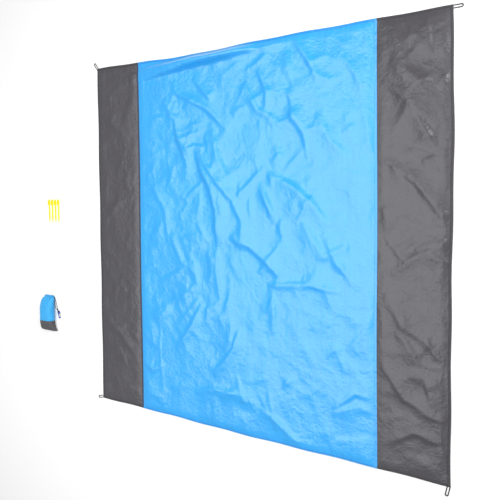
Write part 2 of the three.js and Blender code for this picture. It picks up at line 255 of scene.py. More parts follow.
@dataclass(frozen=True)
class NylonFinish:
    """Thin coated nylon: plain weave, uneven warp threads, fine crumples and a soft shine."""

    name: str
    colour: Colour
    shine: float = 0.36
    gloss: float = 1.0
    thread: float = 0.0007
    tone_change: float = 0.08
    tone_soft: float = 0.22
    sheen: Spot = (0.05, 0.4)
    warp: Grain = Grain((160.0, 1.4, 4.0), 3.0, 0.6)
    slubs: Grain = Grain((5.0, 260.0, 4.0))
    patches: Grain = Grain((3.2, 2.6, 6.0), 4.0, 0.6)
    crumple: Grain = Grain((15.0, 11.0, 15.0), 3.0, 0.55)
    fine: Grain = Grain((34.0, 46.0, 30.0))
    sharp: float = 0.8
    tone_mix: Point = (0.6, 0.15, 0.25)
    shine_change: Spot = (0.14, 0.02)
    thread_relief: Point = (0.02, 0.12, 0.05)
    crumple_relief: Spot = (1.9, 0.9)
    depth: float = 0.003
    strength: float = 0.75

    def paint(self) -> bpy.types.Material:
        """Makes the material.

        Returns:
            The material.
        """
        made = Paint(self.name)
        warp = made.cloud(self.warp)
        slubs = made.cloud(self.slubs)
        patches = made.cloud(self.patches)
        weave = made.along(0).wave(self.thread) * made.along(1).wave(self.thread)
        warp_share, slub_share, patch_share = self.tone_mix
        tone = warp * warp_share + slubs * slub_share + patches * patch_share
        low = shaded(self.colour, 1.0 - self.tone_change)
        high = shaded(self.colour, 1.0 + self.tone_change)
        made.set(Base_Color=made.mixed(tone.over(0.5, self.tone_soft), low, high))
        made.set(Roughness=self.shine + patches * self.shine_change[0] - weave * self.shine_change[1])
        made.set(Specular_IOR_Level=self.gloss, Sheen_Weight=self.sheen[0], Sheen_Roughness=self.sheen[1])
        crumple = (made.cloud(self.crumple) - 0.5).steep(self.sharp)
        fine = (made.cloud(self.fine) - 0.5).steep(self.sharp)
        woven, warped, slubbed = self.thread_relief
        threads = weave * woven + warp * warped + slubs * slubbed
        coarse, small = self.crumple_relief
        made.relief(threads - crumple * coarse - fine * small, self.depth, self.strength)
        return made.material


@dataclass(frozen=True)
class RipstopFinish:
    """Ripstop cloth: a fine weave crossed by a grid of thicker threads."""

    name: str
    colour: Colour
    grid: float = 0.0045
    thread: float = 0.0008
    narrow: float = 26.0
    shine: float = 0.5
    sheen: Spot = (0.2, 0.4)
    patches: Grain = Grain((30.0, 24.0, 24.0), 3.0)
    cord_edge: Spot = (0.45, 0.4)
    cord_share: float = 0.5
    cord_shade: float = 0.62
    patch_shades: Spot = (0.88, 1.1)
    shine_change: Spot = (0.12, 0.06)
    weave_relief: float = 0.2
    depth: float = 0.0003
    strength: float = 0.6

    def paint(self) -> bpy.types.Material:
        """Makes the material.

        Returns:
            The material.
        """
        made = Paint(self.name)
        down = made.along(0).wave(self.grid * 2).steep(self.narrow)
        across = made.along(1).wave(self.grid * 2).steep(self.narrow)
        cords = (down + across).over(*self.cord_edge)
        weave = made.along(0).wave(self.thread) * made.along(1).wave(self.thread)
        patches = made.cloud(self.patches)
        low, high = (shaded(self.colour, shade) for shade in self.patch_shades)
        ground = made.mixed(patches, low, high)
        crossed = shaded(self.colour, self.cord_shade)
        made.set(Base_Color=made.mixed(cords * self.cord_share, ground, crossed))
        made.set(Roughness=self.shine + patches * self.shine_change[0] - cords * self.shine_change[1])
        made.set(Sheen_Weight=self.sheen[0], Sheen_Roughness=self.sheen[1])
        made.relief(cords + weave * self.weave_relief, self.depth, self.strength)
        return made.material


@dataclass(frozen=True)
class ThreadFinish:
    """Twisted thread, woven tape or braided cord: fine diagonal ribs with a dusty, matt surface."""

    name: str
    colour: Colour
    rib: float = 0.001
    roughness: float = 0.75
    gloss: float = 0.25
    sheen: float = 0.05
    dust: Grain = Grain((140.0, 140.0, 140.0), 3.0)
    worn_shade: float = 2.0
    worn_edge: Spot = (0.62, 0.3)
    braid_share: float = 0.3
    dust_rough: float = 0.15
    dust_relief: float = 0.3
    depth: float = 0.0002
    strength: float = 0.7

    def paint(self) -> bpy.types.Material:
        """Makes the material.

        Returns:
            The material.
        """
        made = Paint(self.name)
        one = (made.along(0) + made.along(1)).wave(self.rib)
        two = (made.along(0) - made.along(1)).wave(self.rib)
        braid = one * two
        dust = made.cloud(self.dust)
        worn = (braid * self.braid_share + dust).over(*self.worn_edge)
        made.set(Base_Color=made.mixed(worn, self.colour, shaded(self.colour, self.worn_shade)))
        made.set(Roughness=self.roughness + dust * self.dust_rough)
        made.set(Sheen_Weight=self.sheen, Specular_IOR_Level=self.gloss)
        made.relief(braid + dust * self.dust_relief, self.depth, self.strength)
        return made.material


@dataclass(frozen=True)
class PlasticFinish:
    """Moulded plastic with a faint grain, flow marks and small scuffs."""

    name: str
    colour: Colour
    roughness: float = 0.34
    flow: Grain = Grain((60.0, 12.0, 60.0))
    grain: Grain = Grain((900.0, 900.0, 900.0))
    scuffs: Grain = Grain((500.0, 60.0, 200.0), 3.0, 0.7)
    glow: float = 0.08
    glow_reach: Point = (0.004, 0.003, 0.001)
    flow_shades: Spot = (0.93, 1.05)
    scuff_edge: Spot = (0.66, 0.06)
    scuff_share: float = 0.35
    scuff_shade: float = 0.8
    rough_change: Spot = (0.08, 0.2)
    grain_relief: float = 0.5
    depth: float = 0.00012
    strength: float = 0.4

    def paint(self) -> bpy.types.Material:
        """Makes the material.

        Returns:
            The material.
        """
        made = Paint(self.name)
        grain = made.cloud(self.grain)
        scuffs = made.cloud(self.scuffs).over(*self.scuff_edge)
        low, high = (shaded(self.colour, shade) for shade in self.flow_shades)
        ground = made.mixed(made.cloud(self.flow), low, high)
        scuffed = shaded(self.colour, self.scuff_shade)
        made.set(Base_Color=made.mixed(scuffs * self.scuff_share, ground, scuffed))
        made.set(Roughness=self.roughness + grain * self.rough_change[0] + scuffs * self.rough_change[1])
        made.set(Subsurface_Weight=self.glow, Subsurface_Radius=self.glow_reach)
        made.relief(grain * self.grain_relief + scuffs, self.depth, self.strength)
        return made.material


@dataclass(frozen=True)
class MetalFinish:
    """Metal with drawn streaks and fine scratches."""

    name: str
    colour: Colour
    roughness: float = 0.28
    metal: float = 0.92
    worn: Colour = (0.75, 0.76, 0.78, 1.0)
    streaks: Grain = Grain((1500.0, 180.0, 1500.0), 3.0)
    wear: Grain = Grain((420.0, 420.0, 420.0), 4.0, 0.65)
    wear_edge: Spot = (0.72, 0.05)
    wear_share: float = 0.6
    rough_change: Spot = (0.14, 0.1)
    depth: float = 0.00004
    strength: float = 0.3

    def paint(self) -> bpy.types.Material:
        """Makes the material.

        Returns:
            The material.
        """
        made = Paint(self.name)
        streaks = made.cloud(self.streaks)
        wear = made.cloud(self.wear).over(*self.wear_edge)
        rough = self.roughness + streaks * self.rough_change[0] + wear * self.rough_change[1]
        made.set(Base_Color=made.mixed(wear * self.wear_share, self.colour, self.worn))
        made.set(Metallic=self.metal, Roughness=rough)
        made.relief(streaks, self.depth, self.strength)
        return made.material


class Finish(Enum):
    BLUE = ("blue_nylon", NylonFinish("blue_nylon_cloth", tint(0.016, 0.372, 0.86), 0.22))
    GREY = ("grey_nylon", NylonFinish("grey_nylon_cloth", tint(0.056, 0.053, 0.063), 0.30, gloss=0.75))
    HEM_BLUE = ("blue_nylon", NylonFinish("blue_nylon_fold", tint(0.01, 0.28, 0.72), gloss=0.7))
    HEM_GREY = ("grey_nylon", NylonFinish("grey_nylon_fold", tint(0.05, 0.047, 0.054), 0.42, gloss=0.4))
    BLUE_THREAD = ("blue_nylon", ThreadFinish("blue_thread", tint(0.015, 0.17, 0.45), 0.0006))
    GREY_THREAD = ("grey_nylon", ThreadFinish("grey_thread", tint(0.035, 0.034, 0.037), 0.0006))
    RIPSTOP = ("blue_ripstop", RipstopFinish("blue_ripstop_cloth", tint(0.03, 0.40, 0.84)))
    BAG_GREY = ("grey_bag_cloth", RipstopFinish("grey_bag_cloth", tint(0.06, 0.06, 0.063), 0.0012))
    WEBBING = ("black_webbing", ThreadFinish("black_webbing", tint(0.012, 0.011, 0.01), 0.0011))
    CORD = ("black_cord", ThreadFinish("black_cord", tint(0.012, 0.011, 0.01), 0.0009))
    YELLOW = ("yellow_plastic", PlasticFinish("yellow_plastic", tint(0.88, 0.64, 0.004)))
    ANODISED = ("blue_anodised", MetalFinish("blue_anodised", tint(0.05, 0.09, 0.62)))
    STEEL = ("gate_steel", MetalFinish("gate_steel", tint(0.68, 0.70, 0.66), 0.26))

    @property
    def slot(self) -> str:
        """The slot of the record."""
        return self.value[0]

    def dress(self, piece: bpy.types.Object) -> None:
        """Gives the piece this finish.

        Args:
            piece: The piece.
        """
        name = self.value[1].name
        material = bpy.data.materials.get(name) or self.value[1].paint()
        piece.data.materials.clear()
        piece.data.materials.append(material)


# ------------------------------------------------------------------ meshes


def placed(mesh: bpy.types.Mesh, finish: Finish) -> bpy.types.Object:
    """Makes a smooth-shaded piece of a mesh.

    Args:
        mesh: The mesh, whose name the piece takes.
        finish: Its finish.

    Returns:
        The piece.
    """
    mesh.polygons.foreach_set("use_smooth", [True] * len(mesh.polygons))
    piece = bpy.data.objects.new(mesh.name, mesh)
    bpy.context.scene.collection.objects.link(piece)
    finish.dress(piece)
    return piece


def mesh_piece(name: str, points: np.ndarray, faces: list, finish: Finish) -> bpy.types.Object:
    """Makes a smooth-shaded piece.

    Args:
        name: The piece's name.
        points: Its corners, one row each.
        faces: The corners of each face.
        finish: Its finish.

    Returns:
        The piece.
    """
    mesh = bpy.data.meshes.new(name)
    mesh.from_pydata(points.tolist(), [], faces)
    mesh.validate()
    return placed(mesh, finish)


def ring_faces(rings: int, sides: int, looped: bool = False) -> list[tuple[int, ...]]:
    """Gives the faces of a tube of rings, with end caps unless it closes on itself.

    Args:
        rings: How many rings it has.
        sides: How many corners each ring has.
        looped: Whether the last ring joins the first.

    Returns:
        The faces.
    """
    faces = []
    for ring in range(rings if looped else rings - 1):
        here, there = ring * sides, (ring + 1) % rings * sides
        for side in range(sides):
            after = (side + 1) % sides
            faces.append((here + side, here + after, there + after, there + side))
    if not looped:
        faces.append(tuple(range(sides))[::-1])
        faces.append(tuple(range((rings - 1) * sides, rings * sides)))
    return faces


def grid_faces(rows: int, columns: int) -> list[list[int]]:
    """Gives the faces of a closed sheet: its upper grid, its lower grid and its edge.

    Args:
        rows: Points along the first way.
        columns: Points along the second way.

    Returns:
        The faces, upper points numbered first.
    """
    place = np.arange(rows * columns).reshape(rows, columns)
    upper = np.stack([place[:-1, :-1], place[1:, :-1], place[1:, 1:], place[:-1, 1:]], -1).reshape(-1, 4)
    lower = upper[:, ::-1] + rows * columns
    rim = np.concatenate([place[:-1, 0], place[-1, :-1], place[1:, -1][::-1], place[0, 1:][::-1]])
    onward = np.roll(rim, -1)
    edge = np.stack([rim, rim + rows * columns, onward + rows * columns, onward], -1)
    return np.concatenate([upper, lower, edge]).tolist()


def tube_points(path: np.ndarray, radius: float, sides: int = 12) -> np.ndarray:
    """Gives the rings of a round tube along an open or closed path.

    Args:
        path: The middle line, one row a point.
        radius: The tube's radius.
        sides: How many corners each ring has.

    Returns:
        The rings' points.
    """
    ahead = np.gradient(path, axis=0)
    ahead /= np.linalg.norm(ahead, axis=1, keepdims=True)
    side = np.cross(ahead, (0.0, 0.0, 1.0))
    side /= np.maximum(np.linalg.norm(side, axis=1, keepdims=True), TINY)
    above = np.cross(side, ahead)
    turn = np.linspace(0, TURN, sides, endpoint=False)[None, :, None]
    rings = path[:, None] + radius * (side[:, None] * np.cos(turn) + above[:, None] * np.sin(turn))
    return rings.reshape(-1, 3)


@dataclass(frozen=True)
class Stitch:
    """The shape of one stitch: where its rings stand along it, their girths and their rises."""

    sides: int = 6
    shares: tuple[float, ...] = (0.0, 0.14, 0.5, 0.86, 1.0)
    girths: tuple[float, ...] = (0.35, 0.9, 1.0, 0.9, 0.35)
    rises: tuple[float, ...] = (-0.6, 0.2, 0.5, 0.2, -0.6)


def capsules(starts: np.ndarray, ends: np.ndarray, radius: float) -> tuple[np.ndarray, list]:
    """Gives the mesh of many short round stitches.

    Args:
        starts: Where each stitch begins.
        ends: Where it ends.
        radius: The thread's radius.

    Returns:
        The points and the faces.
    """
    stitch = Stitch()
    sides, shares, girths = stitch.sides, np.array(stitch.shares), np.array(stitch.girths)
    rises = np.array(stitch.rises) * radius
    ahead = ends - starts
    side = np.cross(ahead, (0.0, 0.0, 1.0))
    side /= np.linalg.norm(side, axis=1, keepdims=True)
    turn = np.linspace(0, TURN, sides, endpoint=False)
    middle = starts[:, None] + ahead[:, None] * shares[None, :, None]
    middle[..., 2] += rises
    across = side[:, None, None] * np.cos(turn)[None, None, :, None]
    above = np.array([0.0, 0.0, 1.0]) * np.sin(turn)[None, None, :, None]
    points = middle[:, :, None] + radius * girths[None, :, None, None] * (across + above)
    single = ring_faces(len(shares), sides)
    step = len(shares) * sides
    faces = [tuple(i + n * step for i in face) for n in range(len(starts)) for face in single]
    return points.reshape(-1, 3), faces


def smoothed(value: np.ndarray) -> np.ndarray:
    """Gives the smooth step of a value held between 0 and 1."""
    held = np.clip(value, 0.0, 1.0)
    return held * held * (3 - 2 * held)


def squared(wave: np.ndarray, power: float) -> np.ndarray:
    """Makes a wave from -1 to 1 squarer with a power below 1."""
    return np.sign(wave) * np.abs(wave) ** power


def hump(run: np.ndarray, shape: Point) -> np.ndarray:
    """Gives a rounded hump along one axis, from its height, its middle and its breadth."""
    height, middle, breadth = shape
    return height * np.exp(-(((run - middle) / breadth) ** 2))


def clouds(x: np.ndarray, y: np.ndarray, grain: Point) -> np.ndarray:
    """Gives smooth noise from -1 to 1 at each place, for the grains' length on each axis and the seed."""
    pairs = zip((x / grain[0]).ravel().tolist(), (y / grain[1]).ravel().tolist())
    return np.array([noise.noise(Vector((a, b, grain[2]))) for a, b in pairs]).reshape(x.shape)


# ------------------------------------------------------------------ how the cloth lies


@dataclass(frozen=True)
class Crease:
    """A fold in the lying cloth: the line of its crest, its height, and its breadth on each side."""

    crest: tuple[Spot, ...]
    height: float
    left: float
    right: float
    straight: float = 0.0
    reach: float = 7.0
    blunt: float = 0.35
    taper: float = 0.7

    def lift(self, x: np.ndarray, y: np.ndarray) -> np.ndarray:
        """Gives how far the fold lifts the cloth at each place.

        Args:
            x: The places' x.
            y: The places' y.

        Returns:
            The lift, in metres.
        """
        reach = self.reach * max(self.left, self.right)
        spots = np.array(self.crest)
        low, high = spots.min(0) - reach, spots.max(0) + reach
        near = (x > low[0]) & (x < high[0]) & (y > low[1]) & (y < high[1])
        lifted = np.zeros(x.shape)
        lifted[near] = self.profile(x[near], y[near])
        return lifted

    def profile(self, x: np.ndarray, y: np.ndarray) -> np.ndarray:
        """Gives the lift at places near the fold.

        Args:
            x: The places' x.
            y: The places' y.

        Returns:
            The lift, in metres.
        """
        lengths = [math.dist(a, b) for a, b in zip(self.crest, self.crest[1:])]
        nearest = np.full(x.shape, np.inf)
        breadth = np.full(x.shape, self.left)
        share = np.zeros(x.shape)
        done = 0.0
        for (ax, ay), (bx, by), length in zip(self.crest, self.crest[1:], lengths):
            dx, dy = (bx - ax) / length, (by - ay) / length
            run = np.clip((x - ax) * dx + (y - ay) * dy, 0.0, length)
            off_x, off_y = x - ax - run * dx, y - ay - run * dy
            away = np.hypot(off_x, off_y)
            closer = away < nearest
            nearest = np.where(closer, away, nearest)
            breadth = np.where(closer, np.where(dx * off_y > dy * off_x, self.left, self.right), breadth)
            share = np.where(closer, (done + run) / sum(lengths), share)
            done += length
        curved = np.exp(self.blunt - np.hypot(nearest / breadth, self.blunt))
        slope = smoothed(0.5 + 0.5 * (1 - nearest / breadth)) * 2 - 1
        across = curved * (1 - self.straight) + np.maximum(slope, 0.0) * self.straight
        return self.height * across * np.sin(math.pi * np.clip(share, 0.0, 1.0)) ** self.taper


def ridge(height: float, left: float, right: float, *crest: Spot) -> Crease:
    """Gives a crease with its sizes in millimetres and its crest in metres."""
    return Crease(crest, height / MM, left / MM, right / MM)


@dataclass(frozen=True)
class Scatter:
    """Small creases strewn over one part of the blanket, drawn from a seed."""

    count: int
    low: Spot
    high: Spot
    height: float = 0.0026
    length: float = 0.11
    seed: int = 5
    slants: tuple[float, ...] = (-0.9, -1.2, 0.7, 0.25, 1.5)
    slant_spread: float = 0.22
    lengths: Spot = (0.4, 1.7)
    bow_spread: float = 0.35
    shares: tuple[float, ...] = (0.0, 0.33, 0.67, 1.0)
    steep: Spot = (0.007, 0.011)
    gentle: Spot = (0.014, 0.034)
    heights: Spot = (0.4, 1.5)
    growth: Spot = (0.7, 0.4)

    def creases(self) -> list[Crease]:
        """Draws the creases: short curved crests, each on one of a few slants.

        Returns:
            The creases.
        """
        draw = random.Random(self.seed)
        made = []
        for _ in range(self.count):
            x, y = draw.uniform(self.low[0], self.high[0]), draw.uniform(self.low[1], self.high[1])
            slant = draw.choice(self.slants) + draw.gauss(0, self.slant_spread)
            length = self.length * draw.uniform(*self.lengths)
            bow = draw.gauss(0, self.bow_spread)
            crest = []
            for share in self.shares:
                turn = slant + bow * (share - 0.5)
                crest.append((x + length * share * math.cos(turn), y + length * share * math.sin(turn)))
            steep, gentle = draw.uniform(*self.steep), draw.uniform(*self.gentle)
            sides = (steep, gentle) if draw.random() < 0.5 else (gentle, steep)
            grown = self.growth[0] + self.growth[1] * length / self.length
            height = self.height * draw.uniform(*self.heights) * grown
            made.append(Crease(tuple(crest), height, *sides))
        return made


@dataclass(frozen=True)
class Lie:
    """How the blanket lies on the ground: its folds, its unevenness and the wander of its edges."""

    half_width: float = 1.05
    half_length: float = 1.0
    seam: float = 0.718
    hold: Spot = (0.08, 0.045)
    hem_hold: Spot = (0.12, 0.05)
    calm: float = 0.75
    gather_pitch: float = 0.019
    gather_depth: float = 0.0006
    centre_room: Spot = (0.006, 0.15)
    left_room: Spot = (0.007, 0.10)
    right_room: Spot = (0.010, 0.15)
    drawn_in: Point = (0.014, -0.35, 0.38)
    pushed_out: Point = (0.005, 0.0, 0.45)
    bulge: Point = (0.008, 0.45, 0.4)
    wander: float = 0.0015
    end_zone: Spot = (0.55, 0.45)
    side_zone: Spot = (0.75, 0.3)
    seam_zone: float = 0.2
    right_waves: float = 16.0
    left_waves: Spot = (14.0, 2.0)
    end_waves: Spot = (19.0, 1.0)
    seam_waves: float = 5.0
    pucker_at: Spot = (0.011, 0.007)
    pucker_drift: Spot = (2.0, 13.0)
    slant: Spot = (0.8, 0.6)
    bent: float = 0.05
    bend_x: Point = (0.35, 0.35, 1.5)
    bend_y: Point = (0.35, 0.35, 4.5)
    swell_grain: Point = (0.42, 0.34, 7.3)
    facet_grain: Point = (0.34, 0.19, 11.9)
    across_grain: Point = (0.30, 0.15, 17.1)
    small_grain: Point = (0.11, 0.08, 23.7)
    sharpness: Point = (2.4, 2.6, 2.0)
    facet_mix: Spot = (0.6, 0.4)
    small_least: float = 0.4
    swell: float = 0.0050
    facets: float = 0.0056
    crumple: float = 0.0020
    ground: float = 0.0006
    depth: float = 1.35
    folds: tuple[Crease, ...] = (
        Crease(
            ((-0.78, 0.905), (-0.66, 0.920), (-0.52, 0.940), (-0.36, 0.955), (-0.20, 0.965), (0.10, 0.985)),
            height=0.056,
            left=0.040,
            right=0.034,
            straight=1.0,
        ),
        ridge(9, 16, 12, (-0.30, 0.925), (-0.05, 0.945), (0.15, 0.962), (0.40, 0.99)),
        ridge(9, 26, 8, (-0.45, 0.87), (-0.43, 0.80), (-0.35, 0.76), (-0.22, 0.69), (-0.08, 0.56)),
        ridge(6, 18, 8, (-0.31, 0.87), (-0.24, 0.79), (-0.18, 0.73)),
        ridge(9, 34, 9, (-0.53, 0.77), (-0.44, 0.65), (-0.41, 0.53), (-0.36, 0.42), (-0.35, 0.31)),
        ridge(7, 9, 20, (-0.37, 0.475), (-0.30, 0.50), (-0.23, 0.485)),
        ridge(9, 12, 30, (-0.19, 0.62), (-0.16, 0.50), (-0.14, 0.42), (-0.06, 0.29)),
        ridge(17, 70, 10, (-0.30, 0.49), (-0.25, 0.36), (-0.19, 0.27), (-0.16, 0.15), (-0.16, -0.04)),
        ridge(10, 46, 12, (-0.27, 0.47), (-0.16, 0.32), (-0.06, 0.22), (0.0, 0.10), (0.0, -0.03)),
        ridge(8, 22, 9, (0.30, 0.98), (0.36, 0.90), (0.41, 0.82), (0.43, 0.74)),
        ridge(8, 30, 9, (0.56, 0.86), (0.63, 0.76), (0.67, 0.66)),
        ridge(7, 26, 8, (0.64, 0.66), (0.68, 0.56), (0.69, 0.40)),
        ridge(12, 14, 44, (0.16, 0.34), (0.31, 0.27), (0.41, 0.19), (0.51, 0.07)),
        ridge(8, 9, 20, (-0.04, 0.21), (0.07, 0.31), (0.13, 0.37)),
        ridge(9, 10, 30, (0.11, 0.30), (0.17, 0.18), (0.21, 0.09)),
        ridge(10, 12, 44, (0.35, 0.12), (0.43, 0.0), (0.48, -0.08)),
        ridge(10, 10, 30, (-0.33, -0.83), (-0.19, -0.79), (-0.09, -0.79), (0.05, -0.79)),
        ridge(11, 10, 26, (0.10, -0.84), (0.20, -0.88), (0.34, -0.98)),
        ridge(9, 9, 24, (0.15, -0.215), (0.28, -0.20), (0.39, -0.20)),
        ridge(9, 26, 8, (0.34, -0.19), (0.46, -0.21), (0.56, -0.22)),
        ridge(11, 34, 12, (-0.08, 0.02), (0.05, -0.03), (0.15, -0.10), (0.25, -0.20)),
        ridge(8, 10, 30, (-0.15, -0.02), (-0.155, -0.16), (-0.14, -0.34)),
        ridge(9, 30, 9, (-0.02, -0.44), (-0.06, -0.56), (-0.11, -0.63), (-0.20, -0.72)),
        ridge(9, 30, 9, (-0.26, -0.34), (-0.35, -0.49), (-0.45, -0.62)),
        ridge(10, 26, 14, (0.46, 0.06), (0.53, -0.08), (0.64, -0.20)),
        ridge(9, 22, 8, (0.51, -0.77), (0.62, -0.68), (0.72, -0.69)),
        ridge(8, 8, 22, (0.50, -0.79), (0.64, -0.73), (0.75, -0.76)),
        ridge(8, 26, 9, (0.73, -0.26), (0.66, -0.40), (0.58, -0.49)),
        ridge(8, 12, 26, (0.18, -0.23), (0.19, -0.34), (0.18, -0.46)),
        ridge(9, 26, 14, (-0.72, -0.71), (-0.62, -0.76), (-0.53, -0.71)),
        ridge(8, 22, 12, (-0.74, -0.95), (-0.64, -0.90), (-0.54, -0.91)),
        ridge(2.2, 5, 5, (-0.57, -0.36), (-0.57, -0.65), (-0.55, -0.86), (-0.54, -0.99)),
        ridge(7, 24, 10, (0.10, 0.86), (0.16, 0.74), (0.14, 0.62)),
        ridge(7, 10, 26, (0.02, 0.80), (0.10, 0.66), (0.24, 0.58)),
        ridge(7, 24, 10, (0.26, 0.66), (0.36, 0.52), (0.38, 0.40)),
        ridge(7, 12, 30, (0.44, 0.62), (0.50, 0.48), (0.60, 0.40)),
        ridge(6, 22, 9, (-0.62, 0.30), (-0.52, 0.16), (-0.50, -0.02)),
        ridge(6, 9, 26, (-0.48, 0.02), (-0.40, -0.12), (-0.28, -0.20)),
        ridge(10, 36, 12, (0.79, 0.84), (0.85, 0.73), (0.87, 0.62), (0.80, 0.50)),
        ridge(16, 12, 34, (0.78, 0.99), (0.82, 0.90), (0.85, 0.80), (0.84, 0.72)),
        ridge(10, 30, 12, (0.86, 0.99), (0.88, 0.92), (0.92, 0.86), (0.95, 0.82)),
        ridge(14, 16, 40, (0.79, 0.81), (0.86, 0.76), (0.92, 0.71), (0.97, 0.70)),
        ridge(8, 14, 28, (0.94, 0.98), (0.95, 0.90), (0.96, 0.80)),
        ridge(14, 12, 34, (0.86, 0.68), (0.89, 0.58), (0.94, 0.50), (0.98, 0.42)),
        ridge(12, 44, 12, (0.75, 0.73), (0.88, 0.62), (0.99, 0.50)),
        ridge(9, 26, 10, (0.76, 0.38), (0.90, 0.28), (1.02, 0.12)),
        ridge(9, 12, 30, (0.78, -0.12), (0.92, -0.02), (1.03, 0.03)),
        ridge(9, 30, 10, (0.74, -0.51), (0.85, -0.66), (0.99, -0.72)),
        ridge(8, 26, 9, (0.78, -0.87), (0.90, -0.80), (1.03, -0.83)),
        ridge(8, 30, 12, (0.76, -0.20), (0.84, -0.34), (0.98, -0.42)),
        ridge(6, 24, 14, (-0.99, 0.72), (-0.88, 0.62), (-0.76, 0.60)),
        ridge(6, 18, 24, (-1.01, 0.08), (-0.88, 0.20), (-0.77, 0.23)),
        ridge(6, 24, 14, (-0.99, -0.51), (-0.86, -0.60), (-0.76, -0.71)),
    )
    scatters: tuple[Scatter, ...] = (
        Scatter(80, (-0.50, -0.10), (0.66, 0.92), 0.0030, 0.11, 5),
        Scatter(60, (-0.68, -0.95), (0.66, 0.0), 0.0028, 0.13, 6),
        Scatter(30, (-0.70, -0.60), (-0.35, 0.80), 0.0022, 0.12, 7),
        Scatter(46, (0.74, -0.96), (1.0, 0.94), 0.0036, 0.12, 8),
        Scatter(22, (-1.0, -0.96), (-0.76, 0.94), 0.0022, 0.12, 9),
    )

    def edge_room(self, x: np.ndarray, y: np.ndarray) -> np.ndarray:
        """Gives how free the cloth is to rise.

        Args:
            x: The places' x.
            y: The places' y.

        Returns:
            About 0 at a seam or hem, where the cloth is held flat, and 1 well away from them.
        """
        to_seam = np.abs(np.abs(x) - self.seam)
        to_hem = np.minimum(self.half_width - np.abs(x), self.half_length - np.abs(y))
        at_seam = smoothed(self.hold[0] + to_seam / self.hold[1])
        return at_seam * smoothed(self.hem_hold[0] + to_hem / self.hem_hold[1])

    def height(self, x: np.ndarray, y: np.ndarray) -> np.ndarray:
        """Gives the height of the cloth's underside at each place of the flat blanket.

        Args:
            x: The places' x.
            y: The places' y.

        Returns:
            The height above the ground.
        """
        cos, sin = self.slant
        slant_x, slant_y = (x * cos + y * sin), (y * cos - x * sin)
        bend_x = x + self.bent * clouds(x, y, self.bend_x)
        bend_y = y + self.bent * clouds(x, y, self.bend_y)
        swell = 0.5 + 0.5 * clouds(x, y, self.swell_grain)
        facets = clouds(slant_x + bend_x - x, slant_y + bend_y - y, self.facet_grain)
        across = clouds(slant_y + bend_y - y, slant_x + bend_x - x, self.across_grain)
        small = clouds(bend_x, bend_y, self.small_grain)
        noises = zip((facets, across, small), self.sharpness)
        facets, across, small = (np.maximum(1 - np.abs(one) * sharp, 0) for one, sharp in noises)
        faceted = self.facet_mix[0] * facets + self.facet_mix[1] * across
        rough = self.swell * swell + self.facets * faceted
        rough += self.crumple * small * (self.small_least + swell)
        creases = [crease for scatter in self.scatters for crease in scatter.creases()]
        lifted = sum(fold.lift(x, y) for fold in (*self.folds, *creases)) * self.depth
        calm = np.where(x < -self.seam, self.calm, 1.0)
        room = self.room(x)
        raised = room * np.tanh((rough + lifted) * self.edge_room(x, y) * calm / room)
        return self.ground + raised + self.gather_depth * (1 + self.pucker(x, y))

    def room(self, x: np.ndarray) -> np.ndarray:
        """Gives how high the cloth may rise, so that a folded side panel clears the centre panel.

        Args:
            x: The places' x.

        Returns:
            The height, in metres.
        """
        from_seam = np.abs(np.abs(x) - self.seam)
        limits = (self.centre_room, self.left_room, self.right_room)
        centre, left, right = (low + rise * from_seam for low, rise in limits)
        return np.where(x > self.seam, right, np.where(x < -self.seam, left, centre))

    def pucker(self, x: np.ndarray, y: np.ndarray) -> np.ndarray:
        """Gives the gathering of the cloth along its seams.

        Args:
            x: The places' x.
            y: The places' y.

        Returns:
            The gathering, from -1 to 1.
        """
        away, breadth = self.pucker_at
        near = np.exp(-(((np.abs(x) - self.seam + away) / breadth) ** 2))
        drift = self.pucker_drift[0] * np.sin(y * self.pucker_drift[1])
        return near * np.sin(y * TURN / self.gather_pitch + drift)

    def place(self, x: np.ndarray, y: np.ndarray, above: np.ndarray | float) -> np.ndarray:
        """Gives where places of the flat blanket come to lie.

        Args:
            x: The places' x.
            y: The places' y.
            above: How far above the cloth's underside.

        Returns:
            The points, with a last axis of 3.
        """
        far, near = (smoothed((way * y - self.end_zone[0]) / self.end_zone[1]) for way in (1, -1))
        right, left = (smoothed((way * x - self.side_zone[0]) / self.side_zone[1]) for way in (1, -1))
        drawn_in = hump(x, self.drawn_in) * far
        pushed_out = hump(x, self.pushed_out) * near
        bulge = (hump(y, self.bulge) + self.wander * np.sin(y * self.right_waves)) * right
        wander = self.wander * np.sin(x * self.end_waves[0] + self.end_waves[1]) * (far - near)
        beside = smoothed(1 - np.abs(np.abs(x) - self.seam) / self.seam_zone)
        seam_way = self.wander * np.sin(y * self.seam_waves + x) * beside
        left_way = self.wander * np.sin(y * self.left_waves[0] + self.left_waves[1]) * left
        new_x = x + bulge - left_way + seam_way
        new_y = y - drawn_in - pushed_out + wander
        return np.stack([new_x, new_y, self.height(x, y) + above], -1)


# ------------------------------------------------------------------ the blanket


class Side(Enum):
    """The two side panels, with the way each lies from the centre."""

    LEFT = -1
    RIGHT = 1

    @property
    def label(self) -> str:
        """The side's name."""
        return self.name.lower()

    @property
    def body(self) -> str:
        """The name of the body that folds on this side."""
        return f"{self.label}_fold"


